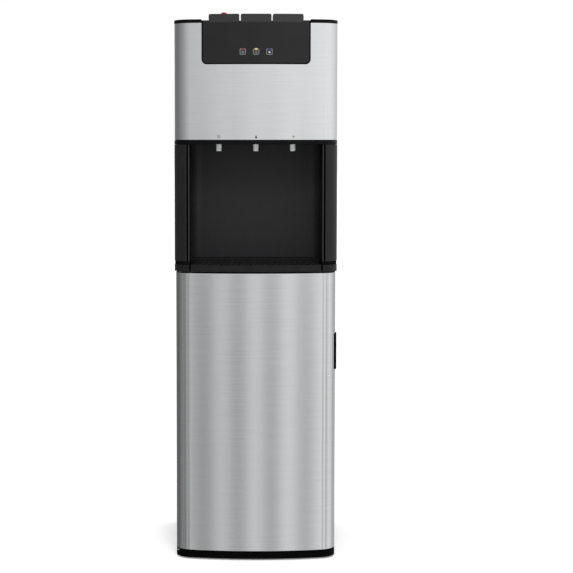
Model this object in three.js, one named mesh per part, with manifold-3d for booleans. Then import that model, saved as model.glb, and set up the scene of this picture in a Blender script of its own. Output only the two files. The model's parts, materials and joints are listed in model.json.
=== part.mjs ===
// A floor-standing water cooler that takes its bottle in a cabinet at the bottom.
// Millimetres, +Z up. The origin lies on the floor below the middle of the casing, the front
// faces -Y and the door hangs on its left edge.
import * as THREE from 'three';
import { mergeVertices } from 'three/addons/utils/BufferGeometryUtils.js';
import Module from 'manifold-3d';

const wasm = await Module();
wasm.setup();

// ---------------------------------------------------------------------------------------
// Driving dimensions
// ---------------------------------------------------------------------------------------

// Plan of the casing
const width = 310;
const depth = 360;
const bowRadius = 557; // the gentle bow of the front
const cornerRadius = 38; // where the front turns into the sides
const doorInset = 2.5; // door and side sheets lie this far inside the mouldings
const steelInset = 0.6; // the upper steel panel lies this far inside them
const doorReturn = 4.64; // flat part of the door's sides, behind the rounded corners
const returnOverlap = 19.5; // how far the mouldings reach back over the side sheets
const capOverhang = 2; // of the cap, behind the side sheets
const rearRecess = 30; // depth of the open bay that holds the condenser

// Thicknesses and clearances
const sheet = 1.2;
const wall = 2.4;
const fit = 0.3; // between pieces that touch
const slide = 3; // each side of the drip tray

// Heights, from the floor up
const footHeight = 3;
const plinthHeight = 12.5;
const doorGap = 2; // below and above the door
const doorHeight = 533;
const surroundHeight = 19.2;
const alcoveHeight = 221.9;
const trimHeight = 8.5;
const upperPanelHeight = 218.3;
const capHeight = 6.4;
const buttonRise = 9.7; // of the buttons, above the cap
const lockRise = 3.2; // of the child lock, above its button

// Cabinet
const footRadius = 15;
const footStemRadius = 4;
const footStemLength = 8;
const footInset = 35; // of the feet, from the sides
const footFrontSetback = 70;
const footRearSetback = 40;
const frontFlange = 14.5;
const rearFlange = 12;
const floorThickness = 3;
const floorLip = 16; // height of the bottle floor's front lip
const railInset = 7.3; // of the bottle's guide rails, from the side sheets
const railThickness = 3;
const railHeight = 11;
const railFrontSetback = 100;
const railRearSetback = 80;
const deckSkirt = 16;

// Door
const skinFlange = 16;
const innerPlate = 3;
const innerCap = 4;
const hingeInset = 8.5; // from the door's side to the pin, across
const hingeSetback = 14; // from the door's rear face to the pin
const pinRadius = 2.5;
const pinReach = 14; // of the pins, past their plates
const bracketHalfX = 8;
const bracketHalfY = 9;
const bracketThickness = 2;
const gasketThickness = 3.9;
const gasketWidth = 6;
const gasketMargin = 7; // above and below, to the door's ends
const gripLength = 69;
const gripDrop = 152.2; // from the door's top to the grip's middle
const gripThickness = 2.2;
const gripSetback = 28; // from the front of the bow to the grip's front edge
const gripOverlap = 9.5; // of the grip, over the side sheet
const cupDepth = 13;
const cupLength = 25;
const cupSetback = 2.5; // from the side sheet's front to the cup
const cupMargin = 2; // of the cup, inside the grip's ends

// Alcove and drip tray
const alcoveInset = 29; // of the alcove's sides, from the casing's sides
const alcoveDepth = 152;
const alcoveCorner = 22;
const ceilingRise = 2; // of the alcove's ceiling, above the shoulder trim's lower edge
const trimFlange = 12;
const mouldingWall = 2.2;
const trayBackGap = 13; // between the tray and the surround's rear edge
const surroundFloor = 3;
const grooveHeight = 6; // of the shadow groove below the pillars
const grooveDepth = 5;
const trayWallTop = 13.4; // height of the tray's front lip
const lipThickness = 4;
const lipInset = 0.5;
const lipGap = 0.5; // behind the lip
const trayFloor = 2;
const trayRim = 1.4;
const trayLedge = 2.6;
const grilleThickness = 2.3;
const grilleRecess = 0.3; // of the grille, below the lip
const slotWidth = 5;
const slotPitch = 11;
const slotMargin = 9;
const slotFrontSetback = 22;
const slotBridge = 8;
const slotRearMargin = 12;

// Taps
const tapSpacing = 70.3;
const tapSetback = 52;
const nozzleRadius = 5.15;
const nozzleBore = 3.2;
const nozzleDrop = 13; // visible below the trim
const nozzleFlangeRadius = 9;
const nozzleFlange = 2.3;
const valveWidth = 26;
const valveHeight = 34;
const valveDepth = 30;
const coilRadius = 11;
const coilHeight = 18;
const inletRadius = 5;
const inletLength = 12;

// Control panel, its indicators and its board
const panelHalf = 102;
const panelHeight = 77;
const panelCorner = 9.5;
const panelGap = 0.3;
const fasciaThickness = 1.8;
const ribMargin = 6.5;
const ribDrop = 5; // of the rib's top, below the buttons' skirts
const ribDepth = 14;
const indicatorSide = 12.1;
const indicatorSpacing = 24.9;
const indicatorDrop = 58.5; // below the panel's upper edge, to the indicators' middle
const indicatorRecess = 0.25;
const boardSetback = 20;
const boardThickness = 1.6;
const boardSideGap = 8.6; // of the board, inside the panel's rib
const pressRoom = 2; // between a button's plunger and its switch
const postRadius = 3;
const postHalfX = 70;
const postInset = 8;
const microSwitch = 10;
const microSwitchRise = 5.5;

// Buttons
const panelEnd = 12.5; // of the panel, beside the buttons
const buttonGap = 2.6;
const buttonSideGap = 0.6;
const buttonBehindFascia = 0.4;
const buttonDepth = 47; // from the front of the bow to the buttons' rear faces
const buttonSkirt = 15; // of the buttons, below the cap's top
const buttonWall = 2.2;
const buttonCorner = 3;
const buttonBeam = 8; // the thick rear wall that the rod passes through
const rodRadius = 1.5;
const rodSetback = 4; // from the buttons' rear face to the rod
const rodSeat = 2.2;
const cheekThickness = 3;
const cheekDepth = 10;
const deckRise = 4.2;
const deckBar = 3.5; // the bar behind the buttons
const plungerHalf = 2;
const plungerReach = 2.5;
const lockWidth = 10.5;
const lockLength = 12;
const lockTravel = 4;
const lockStem = 3.8;
const lockStemLength = 6;
const lockFoot = 1.5;
const lockFootWidth = 8;

// Behind the panels
const shelfRise = 2; // of the tank shelf, above the trim
const shelfSetback = 6; // of the shelf's front edge, behind the valves' inlets
const tankSideGap = 9;
const tankGap = 16; // between the tanks
const tankRearGap = 4; // behind the cold tank, to the switch body
const tankHeadroom = 18.2; // above the cold tank's neck
const hotTankRadius = 50;
const hotTankHeight = 160;
const hotTankRearGap = 14;
const heaterBand = 4;
const heaterBandHeight = 40;
const tankDome = 14;
const tankNeckRadius = 9;
const tankNeckHeight = 12;
const compressorSideGap = 28;
const compressorRadius = 58;
const compressorHeight = 140;
const compressorPlate = 3;
const compressorPlateHalfX = 78;
const compressorPlateHalfY = 52;
const compressorFootRadius = 8;
const compressorFootHeight = 8;
const pumpSideGap = 34;
const pumpRearSetback = 35;
const pumpRadius = 22;
const pumpHeight = 70;
const pumpBase = 8;
const pumpInletRadius = 5;
const condenserSideGap = 36.4;
const condenserTube = 2.6;
const condenserPitch = 40;
const condenserRise = 43.3; // of its lowest run, above the deck
const condenserDrop = 15; // from the switches down to its highest run, at least
const stayInset = 12; // of the two stays, from the ends of its straight runs
const stayWidth = 6;
const stayOverrun = 12;
const ventWidth = 50;
const ventHeight = 5;
const ventSpread = 36;

// Probe for the bottle, parked in its clip
const probeSideGap = 3; // of the collar
const probeRearSetback = 33;
const probeRise = 74.5; // of the tube's lower end, above the plinth
const probeTubeRadius = 6;
const probeTubeBore = 4.2;
const collarRadius = 26;
const collarHeight = 30;
const collarDrop = 103.5; // from the deck's underside
const collarNeckRadius = 10;
const collarNeckHeight = 14;
const clipThickness = 3;
const clipHalf = 24;
const clipBackHeight = 40;
const hoseRadius = 5;

// Fittings at the rear
const fittingSideGap = 23; // of the drain and the gland, from the side sheets
const drainRise = 61.3; // above the deck
const spigotRadius = 7;
const spigotBore = 4.5;
const spigotLength = 16;
const spigotFlange = 10;
const capWall = 3;
const capStart = 4;
const glandRise = 35.3; // above the deck
const glandRadius = 9;
const glandBore = 3.5;
const switchSideGap = 91;
const switchDrop = 30.5; // below the side sheets' upper edge
const switchSpacing = 25;
const rockerWidth = 15;
const rockerHeight = 19.2;
const rockerDepth = 4.6;
const rockerTilt = 8; // degrees, at rest
const wellMargin = 0.4;
const wellEndMargin = 1.2;
const axleRadius = 1.4;
const axleSeat = 1.2;
const switchFrame = 5;
const switchPlate = 2;
const switchBody = 12;

// ---------------------------------------------------------------------------------------
// Levels and places that follow from them
// ---------------------------------------------------------------------------------------

const half = width / 2;
const frontY = -depth / 2;
const backY = depth / 2;
const bowCentreY = frontY + bowRadius;
const cornerX = half - cornerRadius;
const cornerY = bowCentreY - Math.sqrt((bowRadius - cornerRadius) ** 2 - cornerX ** 2);
const bowTurn = Math.atan2(cornerX, bowCentreY - cornerY);

const plinthTop = footHeight + plinthHeight;
const doorBottom = plinthTop + doorGap;
const doorTop = doorBottom + doorHeight;
const surroundBottom = doorTop + doorGap;
const surroundTop = surroundBottom + surroundHeight;
const trimBottom = surroundTop + alcoveHeight;
const trimTop = trimBottom + trimHeight - fit;
const upperBottom = trimTop + fit;
const upperTop = upperBottom + upperPanelHeight;
const capBottom = upperTop + fit;
const capTop = capBottom + capHeight;
const buttonTop = capTop + buttonRise;
const lockTop = buttonTop + lockRise;
const deckTop = surroundBottom - fit;
const deckBottom = deckTop - sheet;

const doorBackY = cornerY + doorReturn;
const frameY = doorBackY + gasketThickness + 2 * fit;
const mouldingBackY = frameY + returnOverlap;
const sheetBackY = backY - capOverhang;
const sheetInnerBackY = sheetBackY - 2 * sheet - 2 * fit; // in front of the lower rear panel
const rearPanelY = backY - rearRecess;
const sideX = half - doorInset;
const innerX = sideX - sheet;
const liningX = innerX - fit;
const openingX = sideX - frontFlange;
const hingeX = -(sideX - hingeInset);
const hingeY = doorBackY - hingeSetback;
const gripMiddle = doorTop - gripDrop;
const cupFrontY = frameY + cupSetback;

const alcoveHalf = half - alcoveInset;
const alcoveBackY = frontY + alcoveDepth;
const tapY = frontY + tapSetback;
const alcoveCeiling = trimBottom + ceilingRise;
const nozzleBottom = trimBottom - nozzleDrop;
const nozzleSeat = alcoveCeiling + wall + fit;
const nozzleTop = nozzleSeat + nozzleFlange;
const tapPlaces = [-tapSpacing, 0, tapSpacing];

const panelBottom = upperTop - panelHeight;
const panelTop = capBottom + deckRise;
const fasciaTop = upperTop + 2 * fit;
const wellHalf = panelHalf - panelEnd;
const buttonWidth = (2 * (wellHalf - buttonSideGap) - 2 * buttonGap) / 3;
const buttonPitch = buttonWidth + buttonGap;
const buttonPlaces = [-buttonPitch, 0, buttonPitch];
const buttonInset = fasciaThickness + buttonBehindFascia;
const buttonRearY = frontY + buttonDepth;
const deckRearY = buttonRearY + 2 * buttonSideGap + deckBar;
const buttonBottom = capTop - buttonSkirt;
const ribTop = buttonBottom - ribDrop;
const rodY = buttonRearY - rodSetback;
const rodZ = upperTop + fit;
const boardY = frontY + boardSetback;
const ribX = panelHalf - ribMargin;
const ribBottom = panelBottom + ribMargin;
const boardHalf = ribX - wall - boardSideGap;
const boardBottom = ribBottom + wall + fit;
const boardTop = buttonBottom - plungerReach - pressRoom - microSwitchRise;

const shelfLevel = trimTop + shelfRise + sheet;
const coldTankHeight = upperTop - tankHeadroom - tankNeckHeight - shelfLevel - fit;
const hotTankX = -(liningX - tankSideGap - hotTankRadius - heaterBand);
const hotTankY = rearPanelY - hotTankRearGap - hotTankRadius - heaterBand;
const coldTankRadius = liningX - tankSideGap - hotTankRadius - heaterBand - tankGap / 2;
const coldTankX = liningX - tankSideGap - coldTankRadius;
const coldTankY = rearPanelY - switchBody - tankRearGap - coldTankRadius;
const compressorX = liningX - compressorSideGap - compressorPlateHalfX;
const compressorY = (alcoveBackY + wall + rearPanelY - sheet) / 2;
const pumpX = -(liningX - pumpSideGap - pumpRadius);
const pumpY = rearPanelY - pumpRearSetback;

const probeX = -(liningX - probeSideGap - collarRadius);
const probeY = sheetBackY - probeRearSetback;
const probeBottom = plinthTop + probeRise;
const collarBottom = deckBottom - collarDrop;

const switchX = liningX - switchSideGap;
const switchZ = upperTop - switchDrop;
const drainX = -(liningX - fittingSideGap);
const drainZ = deckTop + drainRise;
const glandX = liningX - fittingSideGap;
const glandZ = deckTop + glandRise;

const condenserHalf = liningX - condenserSideGap - condenserPitch / 2 - condenserTube;
const condenserBottom = deckTop + condenserRise;
const condenserRoom = switchZ - condenserDrop - stayOverrun - condenserBottom;
const condenserRuns = 1 + Math.floor(condenserRoom / condenserPitch);
const condenserTop = condenserBottom + (condenserRuns - 1) * condenserPitch;
const condenserY = backY - capOverhang - 3 * sheet - 4 * condenserTube;
const stayX = condenserHalf - stayInset;

// ---------------------------------------------------------------------------------------
// Solids
// ---------------------------------------------------------------------------------------

// A closed three.js geometry as a solid, with its faces turned outward.
function solidOf(geometry) {
  geometry.deleteAttribute('normal');
  geometry.deleteAttribute('uv');
  const merged = mergeVertices(geometry, 1e-4);
  const points = merged.attributes.position.array;
  const corners = [];
  for (let i = 0; i < merged.index.count; i += 3) {
    const [a, b, c] = merged.index.array.slice(i, i + 3);
    if (a !== b && b !== c && c !== a) corners.push(a, b, c);
  }
  if (volumeOf(points, corners) < 0) corners.reverse();
  const mesh = new wasm.Mesh({
    numProp: 3,
    vertProperties: Float32Array.from(points),
    triVerts: Uint32Array.from(corners),
  });
  return new wasm.Manifold(mesh);
}

function volumeOf(points, corners) {
  const [a, b, c] = [new THREE.Vector3(), new THREE.Vector3(), new THREE.Vector3()];
  let sum = 0;
  for (let i = 0; i < corners.length; i += 3) {
    a.fromArray(points, 3 * corners[i]);
    b.fromArray(points, 3 * corners[i + 1]);
    c.fromArray(points, 3 * corners[i + 2]);
    sum += a.dot(b.cross(c));
  }
  return sum / 6;
}

function join(...solids) {
  return solids.reduce((whole, solid) => whole.add(solid));
}

function cut(whole, ...tools) {
  return tools.reduce((rest, tool) => rest.subtract(tool), whole);
}

// A box between two values along each axis, in either order.
function block(x0, x1, y0, y1, z0, z1) {
  const box = new THREE.BoxGeometry(Math.abs(x1 - x0), Math.abs(y1 - y0), Math.abs(z1 - z0));
  box.translate((x0 + x1) / 2, (y0 + y1) / 2, (z0 + z1) / 2);
  return solidOf(box);
}

// The casing's outline seen from above, drawn in by an inset and closed at a rear line.
function outline(inset, rearY) {
  const side = half - inset;
  const corner = cornerRadius - inset;
  const shape = new THREE.Shape();
  shape.moveTo(-side, rearY);
  shape.lineTo(-side, cornerY);
  shape.absarc(-cornerX, cornerY, corner, Math.PI, 1.5 * Math.PI - bowTurn);
  shape.absarc(0, bowCentreY, bowRadius - inset, 1.5 * Math.PI - bowTurn, 1.5 * Math.PI + bowTurn);
  shape.absarc(cornerX, cornerY, corner, 1.5 * Math.PI + bowTurn, 2 * Math.PI);
  shape.lineTo(side, rearY);
  shape.closePath();
  return shape;
}

function slab(shape, z0, z1, curveSegments = 5) {
  const geometry = new THREE.ExtrudeGeometry(shape, {
    depth: z1 - z0,
    bevelEnabled: false,
    curveSegments,
  });
  geometry.translate(0, 0, z0);
  return solidOf(geometry);
}

function casing(inset, rearY, z0, z1) {
  return slab(outline(inset, rearY), z0, z1);
}

// A shape drawn in x and z, run from y0 to y1.
function window(shape, y0, y1) {
  const geometry = new THREE.ExtrudeGeometry(shape, {
    depth: y1 - y0,
    bevelEnabled: false,
    curveSegments: 3,
  });
  geometry.rotateX(Math.PI / 2);
  geometry.translate(0, y1, 0);
  return solidOf(geometry);
}

// A rectangle whose lower corners are rounded.
function panelShape(halfWidth, bottom, top, radius) {
  const shape = new THREE.Shape();
  shape.moveTo(-halfWidth, top);
  shape.lineTo(-halfWidth, bottom + radius);
  shape.absarc(-halfWidth + radius, bottom + radius, radius, Math.PI, 1.5 * Math.PI);
  shape.absarc(halfWidth - radius, bottom + radius, radius, 1.5 * Math.PI, 2 * Math.PI);
  shape.lineTo(halfWidth, top);
  shape.closePath();
  return shape;
}

// A rectangle whose upper corners are rounded.
function buttonShape(middle, halfWidth, bottom, top, radius) {
  const shape = new THREE.Shape();
  shape.moveTo(middle - halfWidth, bottom);
  shape.lineTo(middle + halfWidth, bottom);
  shape.absarc(middle + halfWidth - radius, top - radius, radius, 0, 0.5 * Math.PI);
  shape.absarc(middle - halfWidth + radius, top - radius, radius, 0.5 * Math.PI, Math.PI);
  shape.closePath();
  return shape;
}

function rodAlongX(radius, x0, x1, y, z, sides = 16) {
  const rod = new THREE.CylinderGeometry(radius, radius, x1 - x0, sides);
  rod.rotateZ(Math.PI / 2);
  rod.translate((x0 + x1) / 2, y, z);
  return solidOf(rod);
}

function rodAlongY(radius, y0, y1, x, z, sides = 16) {
  const rod = new THREE.CylinderGeometry(radius, radius, y1 - y0, sides);
  rod.translate(x, (y0 + y1) / 2, z);
  return solidOf(rod);
}

function rodAlongZ(radius, z0, z1, x, y, sides = 16) {
  const rod = new THREE.CylinderGeometry(radius, radius, z1 - z0, sides);
  rod.rotateX(Math.PI / 2);
  rod.translate(x, y, (z0 + z1) / 2);
  return solidOf(rod);
}

// A profile of [radius, height] points, closed on itself or on the axis, turned about Z.
function turned(profile, steps = 20) {
  const points = profile.map(([radius, height]) => new THREE.Vector2(radius, height));
  const lathe = new THREE.LatheGeometry(points, steps);
  lathe.rotateX(Math.PI / 2);
  return solidOf(lathe);
}

// A round tube through points that all lie in one plane x-z, capped at both ends.
function flatTube(path, radius, sides) {
  const positions = [];
  path.forEach((point, i) => {
    const before = path[Math.max(i - 1, 0)];
    const after = path[Math.min(i + 1, path.length - 1)];
    const along = new THREE.Vector2().subVectors(after, before).normalize();
    for (let s = 0; s < sides; s += 1) {
      const angle = (2 * Math.PI * s) / sides;
      const across = radius * Math.cos(angle);
      positions.push(point.x - along.y * across, radius * Math.sin(angle), point.y + along.x * across);
    }
  });
  const index = [];
  for (let ring = 0; ring < path.length - 1; ring += 1) {
    for (let s = 0; s < sides; s += 1) {
      const a = ring * sides + s;
      const b = ring * sides + ((s + 1) % sides);
      index.push(a, b, a + sides, b, b + sides, a + sides);
    }
  }
  const last = (path.length - 1) * sides;
  for (let s = 1; s < sides - 1; s += 1) {
    index.push(0, s + 1, s, last, last + s, last + s + 1);
  }
  const geometry = new THREE.BufferGeometry();
  geometry.setAttribute('position', new THREE.Float32BufferAttribute(positions, 3));
  geometry.setIndex(index);
  return solidOf(geometry);
}

// ---------------------------------------------------------------------------------------
// Materials
// ---------------------------------------------------------------------------------------

function finish(color, roughness, metalness = 0) {
  return new THREE.MeshStandardMaterial({ color, roughness, metalness });
}

const brushedSteel = finish(0xc3c5c7, 0.35, 1);
const plainSteel = finish(0xa9abad, 0.45, 1);
const blackSheet = finish(0x1b1c1e, 0.5, 0.3);
const greySheet = finish(0x8f9295, 0.5, 0.6);
const glossBlack = finish(0x161719, 0.25);
const satinBlack = finish(0x232426, 0.45);
const paleGrey = finish(0xc9cbcc, 0.45);
const whitePlastic = finish(0xe8e8e6, 0.5);
const rubber = finish(0x1a1a1a, 0.85);
const redPlastic = finish(0x8c1f24, 0.4);
const boardGreen = finish(0x1e5a38, 0.6);
const foam = finish(0xd8c48c, 0.9);
const redLens = finish(0xc7372f, 0.2);
const amberLens = finish(0xd9a520, 0.2);
const blueLens = finish(0x2f62c7, 0.2);
const hosePlastic = finish(0xdfe3e4, 0.4);

function piece(name, solid, material) {
  const { vertProperties, triVerts } = solid.getMesh();
  const geometry = new THREE.BufferGeometry();
  geometry.setAttribute('position', new THREE.BufferAttribute(vertProperties, 3));
  geometry.setIndex(new THREE.BufferAttribute(triVerts, 1));
  const mesh = new THREE.Mesh(geometry, material);
  mesh.name = name;
  return mesh;
}

function placed(mesh, x, y, z) {
  mesh.position.set(x, y, z);
  return mesh;
}

function group(...members) {
  const whole = new THREE.Group();
  whole.add(...members);
  return whole;
}

// ---------------------------------------------------------------------------------------
// Base and cabinet
// ---------------------------------------------------------------------------------------

function footPlaces() {
  const x = half - footInset;
  return [
    ['foot_front_left', -x, frontY + footFrontSetback],
    ['foot_front_right', x, frontY + footFrontSetback],
    ['foot_rear_left', -x, backY - footRearSetback],
    ['foot_rear_right', x, backY - footRearSetback],
  ];
}

// A rubber disc with a stem that plugs into the plinth.
function foot([name, x, y]) {
  const discTop = footHeight - fit;
  const solid = turned([
    [0, 0],
    [footRadius - 1, 0],
    [footRadius, 1],
    [footRadius, discTop],
    [footStemRadius, discTop],
    [footStemRadius, discTop + footStemLength],
    [0, discTop + footStemLength],
  ]);
  return placed(piece(name, solid, rubber), x, y, 0);
}

// A steel plate with a pin; the pin points up on the lower one and down on the upper one.
function hingeBracket(name, plateZ, direction) {
  const plateEnd = plateZ - direction * bracketThickness;
  const pinEnd = plateZ + direction * pinReach;
  const solid = join(
    block(-bracketHalfX, bracketHalfX, -bracketHalfY, bracketHalfY, plateZ, plateEnd),
    rodAlongZ(pinRadius, Math.min(plateEnd, pinEnd), Math.max(plateEnd, pinEnd), 0, 0),
  );
  return placed(piece(name, solid, plainSteel), hingeX, hingeY, 0);
}

function bracketPocket(z0, z1) {
  return block(
    hingeX - bracketHalfX - fit,
    hingeX + bracketHalfX + fit,
    hingeY - bracketHalfY - fit,
    hingeY + bracketHalfY + fit,
    z0,
    z1,
  );
}

function basePlinth() {
  const body = casing(doorInset, sheetBackY, footHeight, plinthTop);
  const stemHoles = footPlaces().map(([, x, y]) =>
    rodAlongZ(footStemRadius + fit, footHeight - 1, footHeight + footStemLength + fit, x, y));
  const pocket = bracketPocket(plinthTop - bracketThickness - fit, plinthTop + 1);
  return piece('base_plinth', cut(body, ...stemHoles, pocket), satinBlack);
}

// A cup pressed into the right side sheet, so that fingers reach behind the door's grip.
function gripCup(sheetBody) {
  const z0 = gripMiddle - gripLength / 2 + cupMargin;
  const z1 = gripMiddle + gripLength / 2 - cupMargin;
  const floorX = sideX - cupDepth - sheet;
  const cupRearY = cupFrontY + cupLength;
  const shell = block(floorX, sideX, cupFrontY, cupRearY, z0, z1);
  const hollow = block(
    floorX + sheet,
    sideX + 1,
    cupFrontY + sheet,
    cupRearY - sheet,
    z0 + sheet,
    z1 - sheet,
  );
  return cut(join(sheetBody, shell), hollow);
}

// A side sheet with a flange folded inward at its front and at its rear.
function sidePanel(name, side) {
  const profile = [
    [sideX, frameY],
    [sideX, sheetBackY],
    [sideX - rearFlange, sheetBackY],
    [sideX - rearFlange, sheetBackY - sheet],
    [innerX, sheetBackY - sheet],
    [innerX, frameY + sheet],
    [openingX, frameY + sheet],
    [openingX, frameY],
  ];
  const shape = new THREE.Shape(profile.map(([x, y]) => new THREE.Vector2(side * x, y)));
  const plain = slab(shape, plinthTop + fit, upperTop);
  return piece(name, side > 0 ? gripCup(plain) : plain, blackSheet);
}

function bottleFloor() {
  const z0 = plinthTop + fit;
  const z1 = z0 + floorThickness;
  const lipX = openingX - fit;
  const railX = innerX - railInset;
  const rails = [-1, 1].map((side) => block(
    side * (railX - railThickness),
    side * railX,
    frontY + railFrontSetback,
    backY - railRearSetback,
    z1 - 1,
    z1 + railHeight,
  ));
  const solid = join(
    block(-lipX, lipX, frameY, sheetInnerBackY, z0, z1),
    block(-liningX, liningX, frameY + sheet + fit, sheetInnerBackY, z0, z1),
    block(-lipX, lipX, frameY, frameY + sheet, z0, z0 + floorLip),
    ...rails,
  );
  return piece('bottle_floor', solid, greySheet);
}

// The shelf above the bottle, with a front skirt that the door's gasket closes on.
function midDeck() {
  const lipX = openingX - fit;
  const solid = join(
    block(-lipX, lipX, frameY, sheetInnerBackY, deckBottom, deckTop),
    block(-liningX, liningX, frameY + sheet + fit, sheetInnerBackY, deckBottom, deckTop),
    block(-lipX, lipX, frameY, frameY + sheet, deckTop - deckSkirt, deckTop),
  );
  const inletHole = rodAlongZ(pumpInletRadius + fit, deckBottom - 1, deckTop + 1, pumpX, pumpY);
  return piece('mid_deck', cut(solid, inletHole), greySheet);
}

function rearPanelLower() {
  const y1 = sheetBackY - sheet - fit;
  const solid = block(-liningX, liningX, y1 - sheet, y1, plinthTop + fit, deckTop);
  return piece('rear_panel_lower', solid, blackSheet);
}

// The rear sheet of the bay, with air slots, two stays for the condenser and its cut-outs.
function rearPanelUpper() {
  const y0 = rearPanelY - sheet;
  const plate = block(-liningX, liningX, y0, rearPanelY, deckTop + fit, upperTop);
  const stays = [-1, 1].map((side) => block(
    side * (stayX - stayWidth / 2),
    side * (stayX + stayWidth / 2),
    y0,
    condenserY - condenserTube - fit,
    condenserBottom - stayOverrun,
    condenserTop + stayOverrun,
  ));
  const vents = [];
  for (let run = 0; run < condenserRuns - 1; run += 1) {
    const z = condenserBottom + (run + 0.5) * condenserPitch;
    for (const side of [-1, 1]) {
      const x = side * ventSpread;
      vents.push(block(x - ventWidth / 2, x + ventWidth / 2, y0 - 1, rearPanelY + 1,
        z - ventHeight / 2, z + ventHeight / 2));
    }
  }
  const drainHole = rodAlongY(spigotRadius + fit, y0 - 1, rearPanelY + 1, drainX, drainZ);
  const glandHole = rodAlongY(glandRadius - wall + fit, y0 - 1, rearPanelY + 1, glandX, glandZ);
  const [bodyX, bodyZ] = switchBodyHalf();
  const switchHole = block(
    switchX - bodyX - fit,
    switchX + bodyX + fit,
    y0 - 1,
    rearPanelY + 1,
    switchZ - bodyZ - fit,
    switchZ + bodyZ + fit,
  );
  const solid = cut(join(plate, ...stays), ...vents, drainHole, glandHole, switchHole);
  return piece('rear_panel_upper', solid, blackSheet);
}

// ---------------------------------------------------------------------------------------
// Door
// ---------------------------------------------------------------------------------------

function pinBores() {
  const radius = pinRadius + fit;
  return [
    rodAlongZ(radius, doorBottom - 1, doorBottom + pinReach + 1, hingeX, hingeY),
    rodAlongZ(radius, doorTop - pinReach - 1, doorTop + 1, hingeX, hingeY),
  ];
}

// A steel sheet bent round the front and the sides and folded in at its top and bottom.
function doorSkin() {
  const shell = cut(
    casing(doorInset, doorBackY, doorBottom, doorTop),
    casing(doorInset + sheet, backY, doorBottom + sheet, doorTop - sheet),
    casing(doorInset + skinFlange, backY, doorBottom - 1, doorTop + 1),
  );
  return piece('door_skin', cut(shell, ...pinBores()), brushedSteel);
}

// The moulding that closes the skin from behind, with a cap at each end.
function doorInnerPanel() {
  const inset = doorInset + sheet + fit;
  const z0 = doorBottom + sheet + fit;
  const z1 = doorTop - sheet - fit;
  const solid = cut(
    casing(inset, doorBackY, z0, z1),
    casing(0, doorBackY - innerPlate, z0 + innerCap, z1 - innerCap),
  );
  return piece('door_inner_panel', cut(solid, ...pinBores()), satinBlack);
}

function doorGasket() {
  const outerX = -hingeX - fit;
  const innerXGasket = outerX - gasketWidth;
  const z0 = doorBottom + gasketMargin;
  const z1 = doorTop - gasketMargin;
  const y0 = doorBackY + fit;
  const y1 = y0 + gasketThickness;
  const solid = cut(
    block(-outerX, outerX, y0, y1, z0, z1),
    block(-innerXGasket, innerXGasket, y0 - 1, y1 + 1, z0 + gasketWidth, z1 - gasketWidth),
  );
  return piece('door_gasket', solid, rubber);
}

// A curved strip on the door's right edge; its rear edge reaches over the side sheet's cup.
function doorHandle() {
  const z0 = gripMiddle - gripLength / 2;
  const z1 = gripMiddle + gripLength / 2;
  const gripRearY = frameY + gripOverlap;
  const strip = cut(casing(0, gripRearY, z0, z1), casing(gripThickness, backY, z0 - 1, z1 + 1));
  const solid = strip.intersect(block(0, half + 1, frontY + gripSetback, gripRearY, z0, z1));
  return piece('door_handle', solid, satinBlack);
}

// ---------------------------------------------------------------------------------------
// Drip tray, its surround and its grille
// ---------------------------------------------------------------------------------------

function trayRearY() {
  return alcoveBackY - trayBackGap - slide;
}

function trayHalf() {
  return alcoveHalf + fit + wall - mouldingWall - slide;
}

// The moulding round the tray: two ends that carry the pillars, a floor and a rear bar.
function traySurround() {
  const wellX = trayHalf() + slide;
  const wellRearY = trayRearY() + slide;
  const floorTop = surroundBottom + surroundFloor;
  const pillarX = alcoveHalf + wall;
  const body = join(
    casing(0, mouldingBackY, surroundBottom, surroundTop),
    block(-pillarX, pillarX, mouldingBackY - 1, alcoveBackY + wall, surroundBottom, surroundTop),
  );
  const well = block(-wellX, wellX, frontY - 1, wellRearY, floorTop, surroundTop + 1);
  const lipRoom = cut(
    block(-wellX, wellX, frontY - 1, cornerY, surroundBottom - 1, floorTop + 1),
    casing(lipInset + lipThickness + lipGap, backY, surroundBottom - 2, floorTop + 2),
  );
  const flangeRooms = [-1, 1].map((side) => block(
    side * (openingX - fit),
    side * (sideX + fit),
    frameY - fit,
    backY,
    surroundBottom - 1,
    surroundTop + 1,
  ));
  const pocket = bracketPocket(surroundBottom - 1, surroundBottom + bracketThickness + fit);
  const grooveBottom = surroundTop - grooveHeight;
  const groove = cut(
    block(-half - 1, half + 1, frontY - 1, mouldingBackY + 1, grooveBottom, surroundTop + 1),
    casing(grooveDepth, backY, grooveBottom - 1, surroundTop + 2),
  );
  const solid = cut(body, well, lipRoom, ...flangeRooms, pocket, groove);
  return piece('tray_surround', solid, satinBlack);
}

function trayLevels() {
  const lipBottom = surroundBottom + fit;
  const floorBottom = surroundBottom + surroundFloor + fit;
  const rimTop = lipBottom + trayWallTop;
  const grilleTop = rimTop - grilleRecess;
  const grilleBottom = grilleTop - grilleThickness;
  return { lipBottom, floorBottom, rimTop, grilleTop, grilleBottom };
}

function dripTray() {
  const level = trayLevels();
  const x = trayHalf();
  const rear = trayRearY();
  const lipBack = lipInset + lipThickness;
  const across = block(-x, x, frontY - 1, rear, level.lipBottom, level.rimTop);
  const whole = casing(lipInset, rear, level.lipBottom, level.rimTop).intersect(across);
  const below = casing(lipBack, backY, level.lipBottom - 1, level.floorBottom);
  const seat = casing(lipBack, rear - trayRim, level.grilleBottom - fit, level.rimTop + 1)
    .intersect(block(trayRim - x, x - trayRim, frontY, backY, level.lipBottom, level.rimTop + 1));
  const inner = x - trayRim - trayLedge;
  const basin = casing(lipBack + trayLedge, rear - trayRim - trayLedge,
    level.floorBottom + trayFloor, level.rimTop)
    .intersect(block(-inner, inner, frontY, backY, level.lipBottom, level.rimTop + 1));
  return piece('drip_tray', cut(whole, below, seat, basin), satinBlack);
}

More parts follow.
